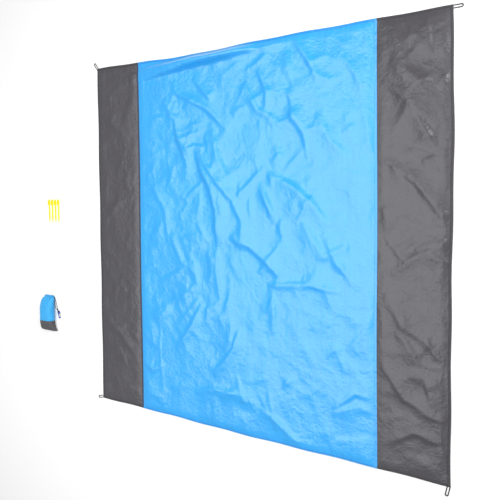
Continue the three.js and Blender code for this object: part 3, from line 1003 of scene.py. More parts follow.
@dataclass
class Blanket:
    """The spread blanket: three cloths, felled seams, folded hems and their stitching."""

    lie: Lie = field(default_factory=Lie)
    cloth: float = 0.0005
    step: float = 0.0082
    tuck: float = 0.006
    seam_width: float = 0.012
    hem_width: float = 0.012
    band: float = 0.0016
    stitch: float = 0.0026
    pitch: float = 0.0036
    thread: float = 0.00032
    row_inset: float = 0.0022
    row_apart: float = 0.0035
    edge: float = 0.001
    ring_step: float = 0.004
    puff: Point = (0.0072, 0.16, 0.03)
    slow_puff: Spot = (0.031, 0.10)
    sunk: float = 0.0002
    strip_sides: int = 14
    flatness: Spot = (0.35, 0.6)
    allowance: float = 0.024
    bend_from: float = 0.7185
    bend_to: float = 0.7345
    hinge_height: float = 0.008

    def build(self) -> None:
        """Makes every piece of the blanket."""
        self.build_centre()
        for side in Side:
            self.build_side(side)
            self.build_seam(side)

    def panel(self, name: str, low: Spot, high: Spot, finish: Finish) -> bpy.types.Object:
        """Makes one closed thin cloth.

        Args:
            name: The piece's name.
            low: Its lowest x and y on the flat blanket.
            high: Its highest x and y.
            finish: Its finish.

        Returns:
            The piece.
        """
        columns = round((high[0] - low[0]) / self.step) + 1
        rows = round((high[1] - low[1]) / self.step) + 1
        spots = (np.linspace(low[0], high[0], columns), np.linspace(low[1], high[1], rows))
        x, y = np.meshgrid(*spots, indexing="ij")
        upper = self.lie.place(x, y, self.cloth).reshape(-1, 3)
        lower = upper - (0.0, 0.0, self.cloth)
        return mesh_piece(name, np.concatenate([upper, lower]), grid_faces(columns, rows), finish)

    def strip(self, name: str, start: Spot, end: Spot, width: float, finish: Finish) -> bpy.types.Object:
        """Makes a flat folded band of cloth that follows the lie of the blanket.

        Args:
            name: The piece's name.
            start: Where its middle line starts on the flat blanket.
            end: Where it ends.
            width: Its width.
            finish: Its finish.

        Returns:
            The piece.
        """
        length = math.dist(start, end)
        rings = round(length / self.ring_step) + 1
        share = np.linspace(0, 1, rings)[:, None]
        way = np.array([end[0] - start[0], end[1] - start[1]]) / length
        turn = np.linspace(0, TURN, self.strip_sides, endpoint=False)[None]
        across = squared(np.cos(turn), self.flatness[0]) * width / 2
        run = share * length
        pitch, rise, spread = self.puff
        slow_pitch, slow_rise = self.slow_puff
        puffed = 1 + rise * np.sin(run * TURN / pitch) + slow_rise * np.sin(run * TURN / slow_pitch)
        high = self.band * (0.5 + 0.5 * squared(np.sin(turn), self.flatness[1]))
        across = across * (1 + spread * np.sin(run * TURN / pitch))
        x = start[0] + way[0] * run + way[1] * across
        y = start[1] + way[1] * run - way[0] * across
        points = self.lie.place(x, y, high * puffed - self.sunk).reshape(-1, 3)
        return mesh_piece(name, points, ring_faces(rings, turn.size), finish)

    def row(self, start: Spot, end: Spot) -> tuple[np.ndarray, np.ndarray]:
        """Gives both ends of each stitch of one row on a band.

        Args:
            start: Where the row starts on the flat blanket.
            end: Where it ends.

        Returns:
            The stitches' starts and their ends.
        """
        length = math.dist(start, end)
        count = int(length / self.pitch)
        first = np.arange(count) / count
        last = first + self.stitch / length
        ends = []
        for share in (first, last):
            x = start[0] + (end[0] - start[0]) * share
            y = start[1] + (end[1] - start[1]) * share
            ends.append(self.lie.place(x, y, self.band))
        return ends[0], ends[1]

    def stitching(self, name: str, rows: list[tuple[Spot, Spot]], finish: Finish) -> bpy.types.Object:
        """Makes rows of stitches as one piece.

        Args:
            name: The piece's name.
            rows: Where each row starts and ends.
            finish: The thread.

        Returns:
            The piece.
        """
        made = [self.row(start, end) for start, end in rows]
        starts = np.concatenate([one for one, _ in made])
        ends = np.concatenate([two for _, two in made])
        return mesh_piece(name, *capsules(starts, ends, self.thread), finish)

    def build_centre(self) -> None:
        """Makes the centre panel with its two hems."""
        reach = self.lie.seam - self.edge
        length = self.lie.half_length
        spread = ((-reach, self.tuck - length), (reach, length - self.tuck))
        cloth = self.panel("centre_cloth", *spread, Finish.BLUE)
        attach(cloth, "blanket_centre")
        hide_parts("centre_panel")
        parts = []
        middle = length - self.hem_width / 2
        inner = length - self.hem_width + self.row_inset
        for label, way in (("top", 1), ("bottom", -1)):
            ends = ((-reach, way * middle), (reach, way * middle))
            hem = self.strip(f"centre_hem_{label}_fold", *ends, self.hem_width, Finish.HEM_BLUE)
            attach(hem, "blanket_centre")
            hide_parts(f"centre_hem_{label}")
            rows = [((-reach, way * inner), (reach, way * inner))]
            thread = self.stitching(f"centre_hem_{label}_stitches", rows, Finish.BLUE_THREAD)
            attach(thread, "blanket_centre")
            parts += [hem, thread]

    def bend(self, piece: bpy.types.Object, side: Side) -> None:
        """Bakes a side piece's placement into its mesh.

        Args:
            piece: The piece.
            side: Which side it is on; not used.
        """
        side.body
        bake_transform(piece)

    def build_side(self, side: Side) -> None:
        """Makes one side panel with its three hems.

        Args:
            side: Which side.
        """
        label, way = side.label, side.value
        inner = self.lie.seam + self.edge
        outer = self.lie.half_width
        length = self.lie.half_length
        low, high = sorted((way * inner, way * (outer - self.tuck)))
        spread = ((low, self.tuck - length), (high, length - self.tuck))
        cloth = self.panel(f"{label}_cloth", *spread, Finish.GREY)
        self.bend(cloth, side)
        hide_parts(f"{label}_panel")
        middle = self.hem_width / 2
        edge = way * (outer - middle)
        runs = {
            "top": ((way * inner, length - middle), (way * (outer - self.hem_width), length - middle)),
            "bottom": ((way * inner, middle - length), (way * (outer - self.hem_width), middle - length)),
            "side": ((edge, -length), (edge, length)),
        }
        for name, ends in runs.items():
            hem = self.strip(f"{label}_hem_{name}_fold", *ends, self.hem_width, Finish.HEM_GREY)
            self.bend(hem, side)
            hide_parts(f"{label}_hem_{name}")
        row = self.hem_width - self.row_inset
        across = [way * inner, way * (outer - row)]
        rows = [((across[0], up * (length - row)), (across[1], up * (length - row))) for up in (1, -1)]
        rows.append(((way * (outer - row), row - length), (way * (outer - row), length - row)))
        thread = self.stitching(f"{label}_hem_stitches", rows, Finish.GREY_THREAD)
        self.bend(thread, side)

    def build_seam(self, side: Side) -> None:
        """Makes one felled seam with its two rows of stitches.

        Args:
            side: Which side's seam.
        """
        middle = side.value * self.lie.seam
        length = self.lie.half_length
        ends = ((middle, -length), (middle, length))
        finish = Finish.HEM_GREY if side is Side.LEFT else Finish.BLUE
        seam = self.strip(f"{side.label}_seam_fell", *ends, self.seam_width, finish)
        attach(seam, "blanket_centre")
        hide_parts(f"{side.label}_seam")
        lines = (middle - self.row_apart, middle + self.row_apart)
        rows = [((line, -length), (line, length)) for line in lines]
        thread = self.stitching(f"{side.label}_seam_stitches", rows, Finish.BLUE_THREAD)
        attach(thread, "blanket_centre")
        log.info("%s seam: felled, 2 rows of stitches", side.label)


# ------------------------------------------------------------------ corner loops


@dataclass(frozen=True)
class Corner:
    """One corner loop: its body's name, where it leaves the hem, its direction in degrees, and its side."""

    name: str
    root: Spot
    degrees: float
    side: Side


@dataclass
class Loops:
    """The four loops of narrow webbing at the corners."""

    corners: tuple[Corner, ...] = (
        Corner("loop_top_left", (-1.05018, 1.00024), 127.0, Side.LEFT),
        Corner("loop_top_right", (1.0503, 0.992), 0.0, Side.RIGHT),
        Corner("loop_bottom_right", (1.042, -1.0021), 257.0, Side.RIGHT),
        Corner("loop_bottom_left", (-1.05196, -0.992), 192.0, Side.LEFT),
    )
    length: float = 0.042
    band: float = 0.0045
    eye: float = 0.007
    thickness: float = 0.0014
    lift: float = 0.0002
    tucked: float = 0.007
    bend_from: float = -0.0015
    bend_to: float = 0.006
    hinge_height: float = 0.0016
    tack_height: float = 0.0024
    tack_thread: float = 0.0003
    tack_at: Spot = (-0.0060, -0.0030)
    tack_count: int = 26
    slack: float = 0.0012
    rib_pitch: float = 0.0013
    rib_height: float = 0.10
    steps: int = 180
    sides: int = 14
    flatness: Spot = (0.4, 0.7)
    straight_steps: int = 24
    round_steps: int = 20

    def outline(self) -> np.ndarray:
        """Gives the middle line of the webbing: out, round the end and back.

        Returns:
            The line's points on the loop's own axes.
        """
        bend = (self.eye + self.band) / 2
        straight = self.length - self.eye / 2 - self.band
        out = np.linspace(-self.tucked, straight, self.straight_steps)
        turn = np.linspace(-math.pi / 2, math.pi / 2, self.round_steps)[1:-1]
        x = np.concatenate([out, straight + bend * np.cos(turn), out[::-1]])
        y = np.concatenate([np.full(out.size, -bend), bend * np.sin(turn), np.full(out.size, bend)])
        return np.stack([x, y], -1)

    def build(self) -> None:
        """Makes the four loops, each with its bar tack."""
        for corner in self.corners:
            loop = self.webbing(corner)
            tack = self.tack(corner)
            swung = Matrix.Rotation(math.radians(corner.degrees), 4, "Z")
            turned = Matrix.Translation((*corner.root, 0.0)) @ swung
            for piece in (loop, tack):
                piece.data.transform(turned)
            corner.side.body
            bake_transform(loop)
            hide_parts(corner.name)
            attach(tack, corner.side.body)
            log.info("%s: webbing loop %.0f mm long", corner.name, self.length * MM)

    def webbing(self, corner: Corner) -> bpy.types.Object:
        """Sweeps the woven band along the loop's line, ribbed across and rounded at its edges.

        Args:
            corner: Which loop.

        Returns:
            The piece, on its own axes.
        """
        line = self.outline()
        run = np.concatenate([[0], np.cumsum(np.linalg.norm(np.diff(line, axis=0), axis=1))])
        even = np.linspace(0, run[-1], self.steps)
        path = np.stack([np.interp(even, run, line[:, 0]), np.interp(even, run, line[:, 1])], -1)
        ahead = np.gradient(path, axis=0)
        ahead /= np.linalg.norm(ahead, axis=1, keepdims=True)
        side = np.stack([ahead[:, 1], -ahead[:, 0]], -1)
        turn = np.linspace(0, TURN, self.sides, endpoint=False)[None]
        ribbed = 1 + self.rib_height * np.sin(even * TURN / self.rib_pitch)[:, None]
        across = squared(np.cos(turn), self.flatness[0]) * self.band / 2 * np.ones_like(ribbed)
        high = self.thickness / 2 * (1 + squared(np.sin(turn), self.flatness[1]) * ribbed)
        slack = self.slack * np.sin(np.clip(even / run[-1], 0, 1) * math.pi)[:, None] ** 2
        x = path[:, :1] + side[:, :1] * across
        y = path[:, 1:] + side[:, 1:] * across
        points = np.stack([x, y, high + self.lift + slack], -1).reshape(-1, 3)
        faces = ring_faces(len(even), turn.size)
        return mesh_piece(f"{corner.name}_webbing", points, faces, Finish.WEBBING)

    def tack(self, corner: Corner) -> bpy.types.Object:
        """Makes the zigzag of stitches that holds both ends of the loop.

        Args:
            corner: Which loop.

        Returns:
            The piece, on its own axes.
        """
        ends = self.tack_count + 1
        reach = self.eye / 2 + self.band
        y = np.linspace(-reach, reach, ends)
        x = np.where(np.arange(ends) % 2, *self.tack_at)
        high = np.full(ends, self.tack_height)
        points = np.stack([x, y, high], -1)
        stitches = capsules(points[:-1], points[1:], self.tack_thread)
        return mesh_piece(f"{corner.name}_tack", *stitches, Finish.CORD)


# ------------------------------------------------------------------ pegs


@dataclass
class Pegs:
    """The four moulded pegs, with their edges rounded as a mould leaves them."""

    count: int = 4
    edge: float = 0.0006

    def build(self) -> None:
        """Makes the pegs."""
        for number in range(1, self.count + 1):
            name = f"peg_{number}"
            piece = rounded_copy(name, f"{name}_moulded", self.edge, Finish.YELLOW)
            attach(piece, name)
            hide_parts(name)
            log.info("%s: moulded, edges %.1f mm", name, self.edge * MM)


@dataclass(frozen=True)
class Rounding:
    """How a moulded or turned edge is rounded: angles in degrees, a distance in metres, and its steps."""

    sharp: float = 28.0
    flat: float = 0.6
    creased: float = 38.0
    joined: float = 1e-6
    steps: int = 3


def rounded_copy(node: str, name: str, edge: float, finish: Finish) -> bpy.types.Object:
    """Makes a piece of a node's own shape, with its sharp edges rounded.

    Args:
        node: The node of the frame.
        name: The piece's name.
        edge: The rounding's breadth.
        finish: Its finish.

    Returns:
        The piece.
    """
    rounding = Rounding()
    sharp, flat = math.radians(rounding.sharp), math.radians(rounding.flat)
    shape = bmesh.new()
    shape.from_mesh(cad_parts[node].data)
    bmesh.ops.remove_doubles(shape, verts=shape.verts, dist=rounding.joined)
    bmesh.ops.dissolve_limit(shape, angle_limit=flat, verts=shape.verts, edges=shape.edges)
    edges = [e for e in shape.edges if e.is_manifold and e.calc_face_angle(0.0) > sharp]
    settings = {"offset": edge, "segments": rounding.steps, "profile": 0.5, "affect": "EDGES"}
    settings.update(offset_type="OFFSET", clamp_overlap=True, harden_normals=False)
    bmesh.ops.bevel(shape, geom=edges, **settings)
    bmesh.ops.triangulate(shape, faces=[f for f in shape.faces if len(f.verts) > 4])
    mesh = bpy.data.meshes.new(name)
    shape.to_mesh(mesh)
    shape.free()
    piece = placed(mesh, finish)
    mesh.set_sharp_from_angle(angle=math.radians(rounding.creased))
    return piece


# ------------------------------------------------------------------ the bag


@dataclass(frozen=True)
class Section:
    """One section of the bag: its distance from the bottom seam, its width and its thickness."""

    along: float
    width: float
    thickness: float


@dataclass(frozen=True)
class Gathers:
    """Folds round the bag: their depth, their count, how they bunch together, and how they slant."""

    depth: float
    count: int
    bunching: float = 0.0
    bunches: int = 0
    slant: float = 0.0

    def at(self, strength: np.ndarray | float, along: np.ndarray, turn: np.ndarray) -> np.ndarray:
        """Gives how far the folds stand out, as a share, from their strength and the place."""
        wave = self.count * turn + self.bunching * np.sin(self.bunches * turn) + self.slant * along
        return self.depth * strength * np.sin(wave)


@dataclass(frozen=True)
class Dents:
    """Smooth dents round the bag: how many go round, how they run along it, and the seed."""

    around: float
    along: Spot
    seed: float

    def at(self, along: np.ndarray, turn: np.ndarray) -> np.ndarray:
        """Gives the dents from -1 to 1 at each distance along the bag and turn round it."""
        x = np.cos(turn) * self.around + along * self.along[0]
        return clouds(x, np.sin(turn) * self.around + along * self.along[1], (1.0, 1.0, self.seed))


@dataclass
class Bag:
    """The stuffed bag: grey base, ripstop upper and gathered mouth."""

    origin: Spot = (-1.543, -0.636)
    body: tuple[Section, ...] = (
        Section(0.0, 0.148, 0.0081),
        Section(0.0099, 0.1406, 0.0243),
        Section(0.025, 0.1375, 0.0378),
        Section(0.045, 0.1295, 0.0459),
        Section(0.066, 0.127, 0.0502),
        Section(0.1008, 0.1257, 0.0535),
        Section(0.1413, 0.1245, 0.0535),
        Section(0.1743, 0.1215, 0.046),
        Section(0.1999, 0.1110, 0.0335),
        Section(0.2163, 0.0860, 0.0175),
    )
    squareness: float = 2.4
    seam_at: float = 0.0662
    body_length: float = 0.2163
    mouth_length: float = 0.0123
    mouth_width: float = 0.082
    mouth_thickness: float = 0.0141
    rings: int = 96
    sides: int = 112
    voxel: float = 0.0032
    pressure: float = 4.0
    frames: int = 20
    most_move: float = 0.007
    stiffness: float = 18.0
    shrink: float = -0.05
    quality: int = 6
    lowest: float = 0.0003
    flat: float = 0.96
    gather_from: float = 0.165
    gather_power: float = 1.3
    top_gathers: tuple[Gathers, ...] = (Gathers(0.20, 13, 2.0, 3, 14), Gathers(0.07, 29, 3.0, 2))
    base_gathers: Gathers = Gathers(0.15, 17, 1.7, 5)
    dents: Dents = Dents(1.6, (9, 16), 31.0)
    lines: Dents = Dents(3.0, (10, -22), 37.0)
    fullness: float = 0.94
    dent_depth: float = 0.05
    line_depth: float = 0.035
    line_sharp: float = 2.2
    fine_steps: int = 400
    smoothing: int = 12
    pinch_reach: float = 0.020
    hump: Point = (0.0045, 0.072, 0.9)
    seam_pinch: Spot = (0.03, 0.004)
    cut_gap: float = 0.00015
    mouth_overlap: float = 0.009
    mouth_spread: Point = (0.93, 0.10, 0.16)
    mouth_plump: Point = (1.0, 0.1, 0.42)
    mouth_full: float = 0.9
    frill: Spot = (0.10, 0.20)
    frill_gathers: Gathers = Gathers(1.0, 19, 2.0, 3, 1)
    fine_gathers: Gathers = Gathers(0.05, 41)
    hem_wave: float = 0.0016
    hem_count: int = 11
    mouth_rings: int = 30
    mouth_sides: int = 160

    def build(self) -> None:
        """Makes the bag's three cloths, its seam and its mouth."""
        whole = self.puffed(self.loft())
        base = self.cut(whole, "bag_base_cloth", False, Finish.BAG_GREY)
        upper = self.cut(whole, "bag_upper_cloth", True, Finish.RIPSTOP)
        bpy.data.objects.remove(whole)
        mouth = self.mouth()
        parts = {"bag_base": base, "bag_upper": upper, "bag_mouth": mouth}
        for node, piece in parts.items():
            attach(piece, "bag")
            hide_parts(node)
        log.info("bag: base %d faces, upper %d faces", len(base.data.polygons), len(upper.data.polygons))

    def ring(
        self, along: np.ndarray, width: np.ndarray, thick: np.ndarray, swell: np.ndarray
    ) -> np.ndarray:
        """Gives rings of the bag that rest on the ground.

        Args:
            along: Each ring's distance from the bottom seam.
            width: Its width.
            thick: Its thickness.
            swell: How much each point stands out from it, as a share.

        Returns:
            The rings' points.
        """
        turn = np.linspace(0, TURN, swell.shape[1], endpoint=False)[None]
        power = 2 / self.squareness
        across = squared(np.cos(turn), power)
        above = squared(np.sin(turn), power)
        x = self.origin[0] + across * swell * width[:, None] / 2
        y = self.origin[1] + along[:, None] * np.ones_like(turn)
        z = np.maximum(thick[:, None] / 2 * (1 + above * swell), self.lowest)
        return np.stack([x, y, z], -1)

    def loft(self) -> bpy.types.Object:
        """Lofts the whole stuffed body, with its creases and gathers.

        Returns:
            The piece.
        """
        known = np.array([[s.along, s.width, s.thickness] for s in self.body])
        along = np.linspace(0.0, self.body_length, self.rings)
        soft = np.linspace(0.0, self.body_length, self.fine_steps)
        kernel = np.hanning(2 * self.smoothing + 1)
        kernel = kernel / kernel.sum()
        sizes = []
        for column in (1, 2):
            raw = np.interp(soft, known[:, 0], known[:, column])
            ends = np.pad(raw, self.smoothing, mode="edge")
            sizes.append(np.interp(along, soft, np.convolve(ends, kernel, mode="valid")))
        turn = np.linspace(0, TURN, self.sides, endpoint=False)
        s, t = np.meshgrid(along, turn, indexing="ij")
        risen = smoothed((s - self.gather_from) / (self.body_length - self.gather_from))
        gather = risen**self.gather_power
        folds = sum(one.at(gather, s, t) for one in self.top_gathers)
        folds += self.base_gathers.at(np.exp(-s / self.pinch_reach), s, t)
        lines = np.maximum(1 - np.abs(self.lines.at(s, t)) * self.line_sharp, 0)
        swell = self.fullness + folds + self.dent_depth * self.dents.at(s, t) + self.line_depth * lines
        swell -= hump(s, (self.seam_pinch[0], self.seam_at, self.seam_pinch[1]))
        points = self.ring(along, sizes[0], sizes[1] * self.flat, swell)
        rise, pitch, shift = self.hump
        points[..., 1] += rise * gather * np.cos((points[..., 0] - self.origin[0]) * TURN / pitch + shift)
        faces = ring_faces(self.rings, self.sides)
        return mesh_piece("bag_body", points.reshape(-1, 3), faces, Finish.RIPSTOP)

    def puffed(self, shape: bpy.types.Object) -> bpy.types.Object:
        """Fills the cloth by a short simulation with pressure inside it.

        Args:
            shape: The lofted bag.

        Returns:
            The same piece with the filled shape.
        """
        scene = bpy.context.scene
        remesh = shape.modifiers.new("even", "REMESH")
        remesh.mode = "VOXEL"
        remesh.voxel_size = self.voxel
        remesh.use_smooth_shade = True
        bake_shape(shape)
        rest = points_of(shape)
        cloth = shape.modifiers.new("filled", "CLOTH")
        cloth.settings.use_pressure = True
        cloth.settings.uniform_pressure_force = self.pressure
        cloth.settings.quality = self.quality
        cloth.settings.tension_stiffness = self.stiffness
        cloth.settings.compression_stiffness = self.stiffness
        cloth.settings.shrink_min = self.shrink
        cloth.settings.effector_weights.gravity = 0.0
        cloth.point_cache.frame_start = 1
        cloth.point_cache.frame_end = self.frames
        for step in range(1, self.frames + 1):
            scene.frame_set(step)
        bake_shape(shape)
        scene.frame_set(1)
        moved = points_of(shape) - rest
        far = np.linalg.norm(moved, axis=1, keepdims=True)
        held = rest + moved * np.minimum(1.0, self.most_move / np.maximum(far, TINY))
        held[:, 2] = np.maximum(held[:, 2], self.lowest)
        shape.data.vertices.foreach_set("co", held.astype(np.float32).ravel())
        shape.data.update()
        fine = shape.modifiers.new("fine", "SUBSURF")
        fine.levels = 1
        fine.render_levels = 1
        bake_shape(shape)
        return shape

    def cut(self, whole: bpy.types.Object, name: str, upper: bool, finish: Finish) -> bpy.types.Object:
        """Cuts the body at the seam between base and upper and closes the cut.

        Args:
            whole: The whole body.
            name: The new piece's name.
            upper: Whether the upper part is kept.
            finish: Its finish.

        Returns:
            The piece.
        """
        shape = bmesh.new()
        shape.from_mesh(whole.data)
        gap = self.cut_gap if upper else -self.cut_gap
        seam = (0.0, self.origin[1] + self.seam_at + gap, 0.0)
        geometry = shape.verts[:] + shape.edges[:] + shape.faces[:]
        drop = {"clear_inner": upper, "clear_outer": not upper}
        along = (0.0, 1.0, 0.0)
        found = bmesh.ops.bisect_plane(shape, geom=geometry, plane_co=seam, plane_no=along, **drop)
        rim = [e for e in found["geom_cut"] if isinstance(e, bmesh.types.BMEdge)]
        bmesh.ops.holes_fill(shape, edges=rim, sides=0)
        mesh = bpy.data.meshes.new(name)
        shape.to_mesh(mesh)
        shape.free()
        return placed(mesh, finish)

    def mouth(self) -> bpy.types.Object:
        """Makes the gathered frill above the drawcord's channel.

        Returns:
            The piece.
        """
        start = self.body_length - self.mouth_overlap
        rings, sides = self.mouth_rings, self.mouth_sides
        share = np.linspace(0, 1, rings)
        along = start + share * (self.mouth_length + self.mouth_overlap)
        rows = np.array([np.ones(rings), np.sin(share * math.pi), -(share**3)])
        width = self.mouth_width * (np.array(self.mouth_spread) @ rows)
        thick = self.mouth_thickness * (np.array(self.mouth_plump) @ rows)
        s, t = np.meshgrid(share, np.linspace(0, TURN, sides, endpoint=False), indexing="ij")
        frill = self.frill[0] + self.frill[1] * s
        swell = self.mouth_full + self.frill_gathers.at(frill, s, t) + self.fine_gathers.at(1.0, s, t)
        points = self.ring(along, width, thick, swell)
        points[..., 1] += self.hem_wave * s**2 * (np.sin(self.hem_count * t + 1.0) - 1)
        faces = ring_faces(rings, sides)
        return mesh_piece("bag_mouth_frill", points.reshape(-1, 3), faces, Finish.RIPSTOP)


def points_of(piece: bpy.types.Object) -> np.ndarray:
    """Gives the piece's points.

    Args:
        piece: The piece.

    Returns:
        The points, one row each.
    """
    found = np.empty(len(piece.data.vertices) * 3, np.float32)
    piece.data.vertices.foreach_get("co", found)
    return found.reshape(-1, 3).astype(float)


def bake_shape(piece: bpy.types.Object) -> None:
    """Turns what the piece's modifiers give into its own mesh.

    Args:
        piece: The piece.
    """
    graph = bpy.context.evaluated_depsgraph_get()
    mesh = bpy.data.meshes.new_from_object(piece.evaluated_get(graph))
    old = piece.data
    piece.modifiers.clear()
    piece.data = mesh
    bpy.data.meshes.remove(old)


# ------------------------------------------------------------------ cord and carabiner


@dataclass
class Drawcord:
    """The bag's cord: two strands from the mouth to the carabiner, the hitch, the knot and the cut ends."""

    origin: Spot = (-1.543, -0.636)
    diameter: float = 0.003
    upper: tuple[Point, ...] = (
        (0.0429, 0.222, 0.007),
        (0.047, 0.220, 0.005),
        (0.051, 0.214, 0.0026),
        (0.0545, 0.206, 0.0015),
        (0.058, 0.196, 0.0015),
        (0.061, 0.187, 0.0015),
        (0.065, 0.176, 0.0015),
        (0.069, 0.165, 0.0015),
        (0.073, 0.154, 0.0015),
        (0.077, 0.145, 0.0017),
        (0.0803, 0.139, 0.0034),
        (0.0826, 0.1365, 0.0056),
    )
    lower: tuple[Point, ...] = (
        (0.0406, 0.219, 0.0022),
        (0.043, 0.215, 0.0016),
        (0.045, 0.208, 0.0015),
        (0.0465, 0.198, 0.0015),
        (0.048, 0.187, 0.0015),
        (0.050, 0.174, 0.0015),
        (0.053, 0.162, 0.0015),
        (0.057, 0.152, 0.0015),
        (0.062, 0.1455, 0.0015),
        (0.068, 0.141, 0.0017),
        (0.0745, 0.1376, 0.0036),
        (0.0798, 0.1345, 0.0056),
    )
    hitch_middle: Point = (-1.45715, -0.50715, 0.00555)
    hitch_radius: float = 0.00405
    hitch_stretch: float = 1.3
    hitch_degrees: float = -55.0
    knot_middle: Point = (-1.45111, -0.51576, 0.003)
    neck: Point = (-1.4538, -0.5118, 0.0042)
    knot_size: float = 0.0007
    knot_rise: float = 1.1
    knot_pull: float = 0.42
    knot_rings: int = 90
    hitch_rings: int = 40
    sides: int = 12
    roundness: int = 4
    smoothness: int = 8
    lowest: float = 0.0002
    tail_shares: tuple[float, ...] = (0, 0.04, 0.15, 0.25, 0.35, 0.45, 0.55, 0.66, 0.78, 0.88, 0.95, 1.0)
    tail_girths: tuple[float, ...] = (0.6, 0.85, 0.9, 0.9, 0.9, 0.95, 1.0, 0.98, 1.0, 1.04, 0.95, 0.6)
    tail_stops: tuple[float, ...] = (0.0, 0.35, 0.55, 1.0)
    tail_spread: tuple[float, ...] = (0.5, 0.5, 1.0, 1.0)
    tail_start: float = -0.5191
    tail_length: float = 0.006
    tail_apart: float = 0.0018

    def build(self) -> None:
        """Makes the knot pieces first, then the strands that run to them."""
        pieces = [self.hitch(), self.knot(), self.tail("left", -1), self.tail("right", 1)]
        for name, points in (("upper", self.upper), ("lower", self.lower)):
            self.strand(name, points)

    def strand(self, name: str, points: tuple[Point, ...]) -> None:
        """Makes one strand as a curve.

        Args:
            name: Which strand.
            points: Its middle line on the bag's axes.
        """
        curve = bpy.data.curves.new(f"cord_{name}_strand", "CURVE")
        curve.dimensions = "3D"
        curve.bevel_depth = self.diameter / 2
        curve.bevel_resolution = self.roundness
        curve.resolution_u = self.smoothness
        curve.use_fill_caps = True
        spline = curve.splines.new("BEZIER")
        spline.bezier_points.add(len(points) - 1)
        places = [Vector((self.origin[0] + x, self.origin[1] + y, z)) for x, y, z in points]
        for bead, place in zip(spline.bezier_points, places):
            bead.co = place
            bead.handle_left_type = "AUTO"
            bead.handle_right_type = "AUTO"
        piece = bpy.data.objects.new(curve.name, curve)
        bpy.context.scene.collection.objects.link(piece)
        Finish.CORD.dress(piece)
        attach(piece, "bag")
        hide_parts(f"cord_{name}")

    def hitch(self) -> bpy.types.Object:
        """Makes the turn of cord round the carabiner's rod.

        Returns:
            The piece.
        """
        turn = np.linspace(0, TURN, self.hitch_rings, endpoint=False)
        loop = np.stack([np.cos(turn) * self.hitch_stretch, np.zeros_like(turn), np.sin(turn)], -1)
        sides = np.linspace(0, TURN, self.sides, endpoint=False)
        outward = np.stack([np.cos(turn), np.zeros_like(turn), np.sin(turn)], -1)
        radius = self.diameter / 2
        tube = outward[:, None] * np.cos(sides)[None, :, None]
        tube = tube + np.array([0.0, 1.0, 0.0]) * np.sin(sides)[None, :, None]
        points = (loop * self.hitch_radius)[:, None] + tube * radius
        faces = ring_faces(self.hitch_rings, self.sides, True)
        piece = mesh_piece("cord_hitch_turn", points.reshape(-1, 3), faces, Finish.CORD)
        turned = Matrix.Rotation(math.radians(self.hitch_degrees), 4, "Z")
        piece.data.transform(Matrix.Translation(self.hitch_middle) @ turned)
        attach(piece, "carabiner")
        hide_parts("cord_hitch")
        return piece

    def knot(self) -> bpy.types.Object:
        """Makes the overhand knot below the hitch.

        Returns:
            The piece.
        """
        turn = np.linspace(0, TURN, self.knot_rings, endpoint=False)
        x = np.sin(turn) + 2 * np.sin(2 * turn)
        y = np.cos(turn) - 2 * np.cos(2 * turn)
        path = np.stack([x, y, -self.knot_rise * np.sin(3 * turn)], -1) * self.knot_size
        ring = np.concatenate([path[-2:], path, path[:2]])
        points = tube_points(ring, self.diameter * self.knot_pull, self.sides)
        points = points.reshape(-1, self.sides, 3)[2:-2].reshape(-1, 3) + np.array(self.knot_middle)
        points[:, 2] = np.maximum(points[:, 2], self.lowest)
        faces = ring_faces(self.knot_rings, self.sides, True)
        piece = mesh_piece("cord_overhand_knot", points, faces, Finish.CORD)
        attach(piece, "carabiner")
        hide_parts("cord_knot")
        log.info("hitch and knot: one turn round the rod, one overhand knot")
        return piece

    def tail(self, name: str, side: int) -> bpy.types.Object:
        """Makes one end of the cord from the hitch through the knot, melted so that it doesn't fray.

        Args:
            name: Which tail.
            side: -1 for the left one, 1 for the right one.

        Returns:
            The piece.
        """
        share, girth = np.array(self.tail_shares), np.array(self.tail_girths)
        low = self.diameter / 2
        below = (self.knot_middle[0], self.tail_start, low)
        tip = (self.knot_middle[0], self.tail_start - self.tail_length, low)
        stops = np.array([self.neck, self.knot_middle, below, tip])
        path = np.stack([np.interp(share, self.tail_stops, stops[:, axis]) for axis in range(3)], -1)
        path[:, 0] += side * self.tail_apart * np.interp(share, self.tail_stops, self.tail_spread)
        rings = tube_points(path, low, self.sides).reshape(len(share), self.sides, 3)
        middle = path[:, None]
        points = (middle + (rings - middle) * girth[:, None, None]).reshape(-1, 3)
        faces = ring_faces(len(share), self.sides)
        piece = mesh_piece(f"cord_tail_{name}_end", points, faces, Finish.CORD)
        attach(piece, "carabiner")
        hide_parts(f"cord_tail_{name}")
        return piece


@dataclass
class Carabiner:
    """The carabiner: anodised ring, steel gate, rivet and spring."""

    edge: float = 0.00025

    def build(self) -> None:
        """Makes its four pieces."""
        parts = {
            "carabiner_body": ("carabiner_ring", "carabiner", Finish.ANODISED),
            "gate_rivet": ("gate_rivet_pin", "carabiner", Finish.STEEL),
            "carabiner_gate": ("carabiner_gate_bar", "gate", Finish.STEEL),
            "gate_spring": ("gate_spring_coil", "gate", Finish.STEEL),
        }
        for node, (name, body, finish) in parts.items():
            piece = rounded_copy(node, name, self.edge, finish)
            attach(piece, body)
            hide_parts(node)
            log.info("%s: %d faces", name, len(piece.data.polygons))


# ------------------------------------------------------------------ studio


@dataclass(frozen=True)
class Lamp:
    """One square soft light: where it hangs, the point it faces, its side and its watts."""

    name: str
    place: Point
    aim: Point
    size: float
    power: float


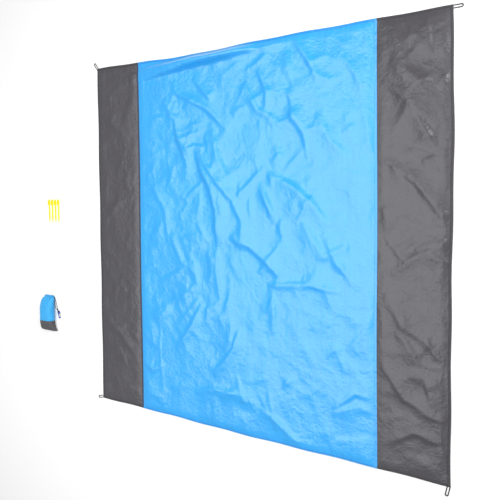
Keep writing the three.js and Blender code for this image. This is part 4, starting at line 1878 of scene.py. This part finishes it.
@dataclass
class Studio:
    """Camera, pale ground and soft lights."""

    camera_at: Point = (1.758, 0.232, 2.543)
    camera_right: Point = (0.827, -0.009, -0.561)
    camera_up: Point = (-0.017, 0.999, -0.04)
    lens: float = 43.69
    sensor: float = 36.0
    shift: Spot = (0.0042, -0.0572)
    ground_size: float = 30.0
    ground: Colour = (0.90, 0.90, 0.90, 1.0)
    ground_rough: float = 0.9
    ground_gloss: float = 0.1
    air: Colour = (1.0, 1.0, 1.0, 1.0)
    air_strength: float = 0.4
    lamps: tuple[Lamp, ...] = (
        Lamp("soft_box", (-0.80, -0.2, 3.5), (-0.80, -0.2, 0.0), 4.4, 135.0),
        Lamp("main_light", (3.4, 2.2, 2.2), (0.0, 0.0, 0.0), 1.2, 110.0),
    )

    def build_camera(self) -> None:
        """Places the camera."""
        camera = bpy.data.cameras.new("camera")
        camera.lens = self.lens
        camera.sensor_width = self.sensor
        camera.shift_x, camera.shift_y = self.shift
        camera.clip_end = self.ground_size * 4
        holder = bpy.data.objects.new("camera", camera)
        right, up = Vector(self.camera_right).normalized(), Vector(self.camera_up).normalized()
        back = right.cross(up)
        turned = Matrix((right, up, back)).transposed().to_4x4()
        holder.matrix_world = Matrix.Translation(self.camera_at) @ turned
        bpy.context.scene.collection.objects.link(holder)
        bpy.context.scene.camera = holder
        log.info("camera: %.1f mm lens", self.lens)

    def build_ground(self) -> None:
        """Lays the pale ground and lights the air."""
        half = self.ground_size
        corners = np.array([[-half, -half, 0], [half, -half, 0], [half, half, 0], [-half, half, 0]])
        mesh = bpy.data.meshes.new("ground")
        mesh.from_pydata(corners.tolist(), [], [(0, 1, 2, 3)])
        ground = bpy.data.objects.new("ground", mesh)
        bpy.context.scene.collection.objects.link(ground)
        made = Paint("pale_ground")
        made.set(Base_Color=self.ground, Roughness=self.ground_rough, Specular_IOR_Level=self.ground_gloss)
        ground.data.materials.append(made.material)
        world = bpy.data.worlds.new("air")
        world.use_nodes = True
        sky = world.node_tree.nodes["Background"]
        sky.inputs["Color"].default_value = self.air
        sky.inputs["Strength"].default_value = self.air_strength
        bpy.context.scene.world = world

    def build_lights(self) -> None:
        """Hangs the soft box over the blanket and the smaller main light far to the right."""
        bpy.context.scene.view_settings.view_transform = "Standard"
        for lamp in self.lamps:
            light = bpy.data.lights.new(lamp.name, "AREA")
            light.size = lamp.size
            light.energy = lamp.power
            holder = bpy.data.objects.new(lamp.name, light)
            holder.location = lamp.place
            ray = Vector(lamp.aim) - Vector(lamp.place)
            holder.rotation_euler = ray.to_track_quat("-Z", "Y").to_euler()
            holder.visible_camera = False
            bpy.context.scene.collection.objects.link(holder)


def main() -> None:
    """Builds the whole kit in order."""
    logging.basicConfig(level=logging.INFO, format="%(message)s")
    studio = Studio()
    studio.build_camera()
    Drawcord().build()
    Carabiner().build()
    Blanket().build()
    Loops().build()
    Pegs().build()
    Bag().build()
    studio.build_ground()
    studio.build_lights()


if __name__ == "__main__":
    main()
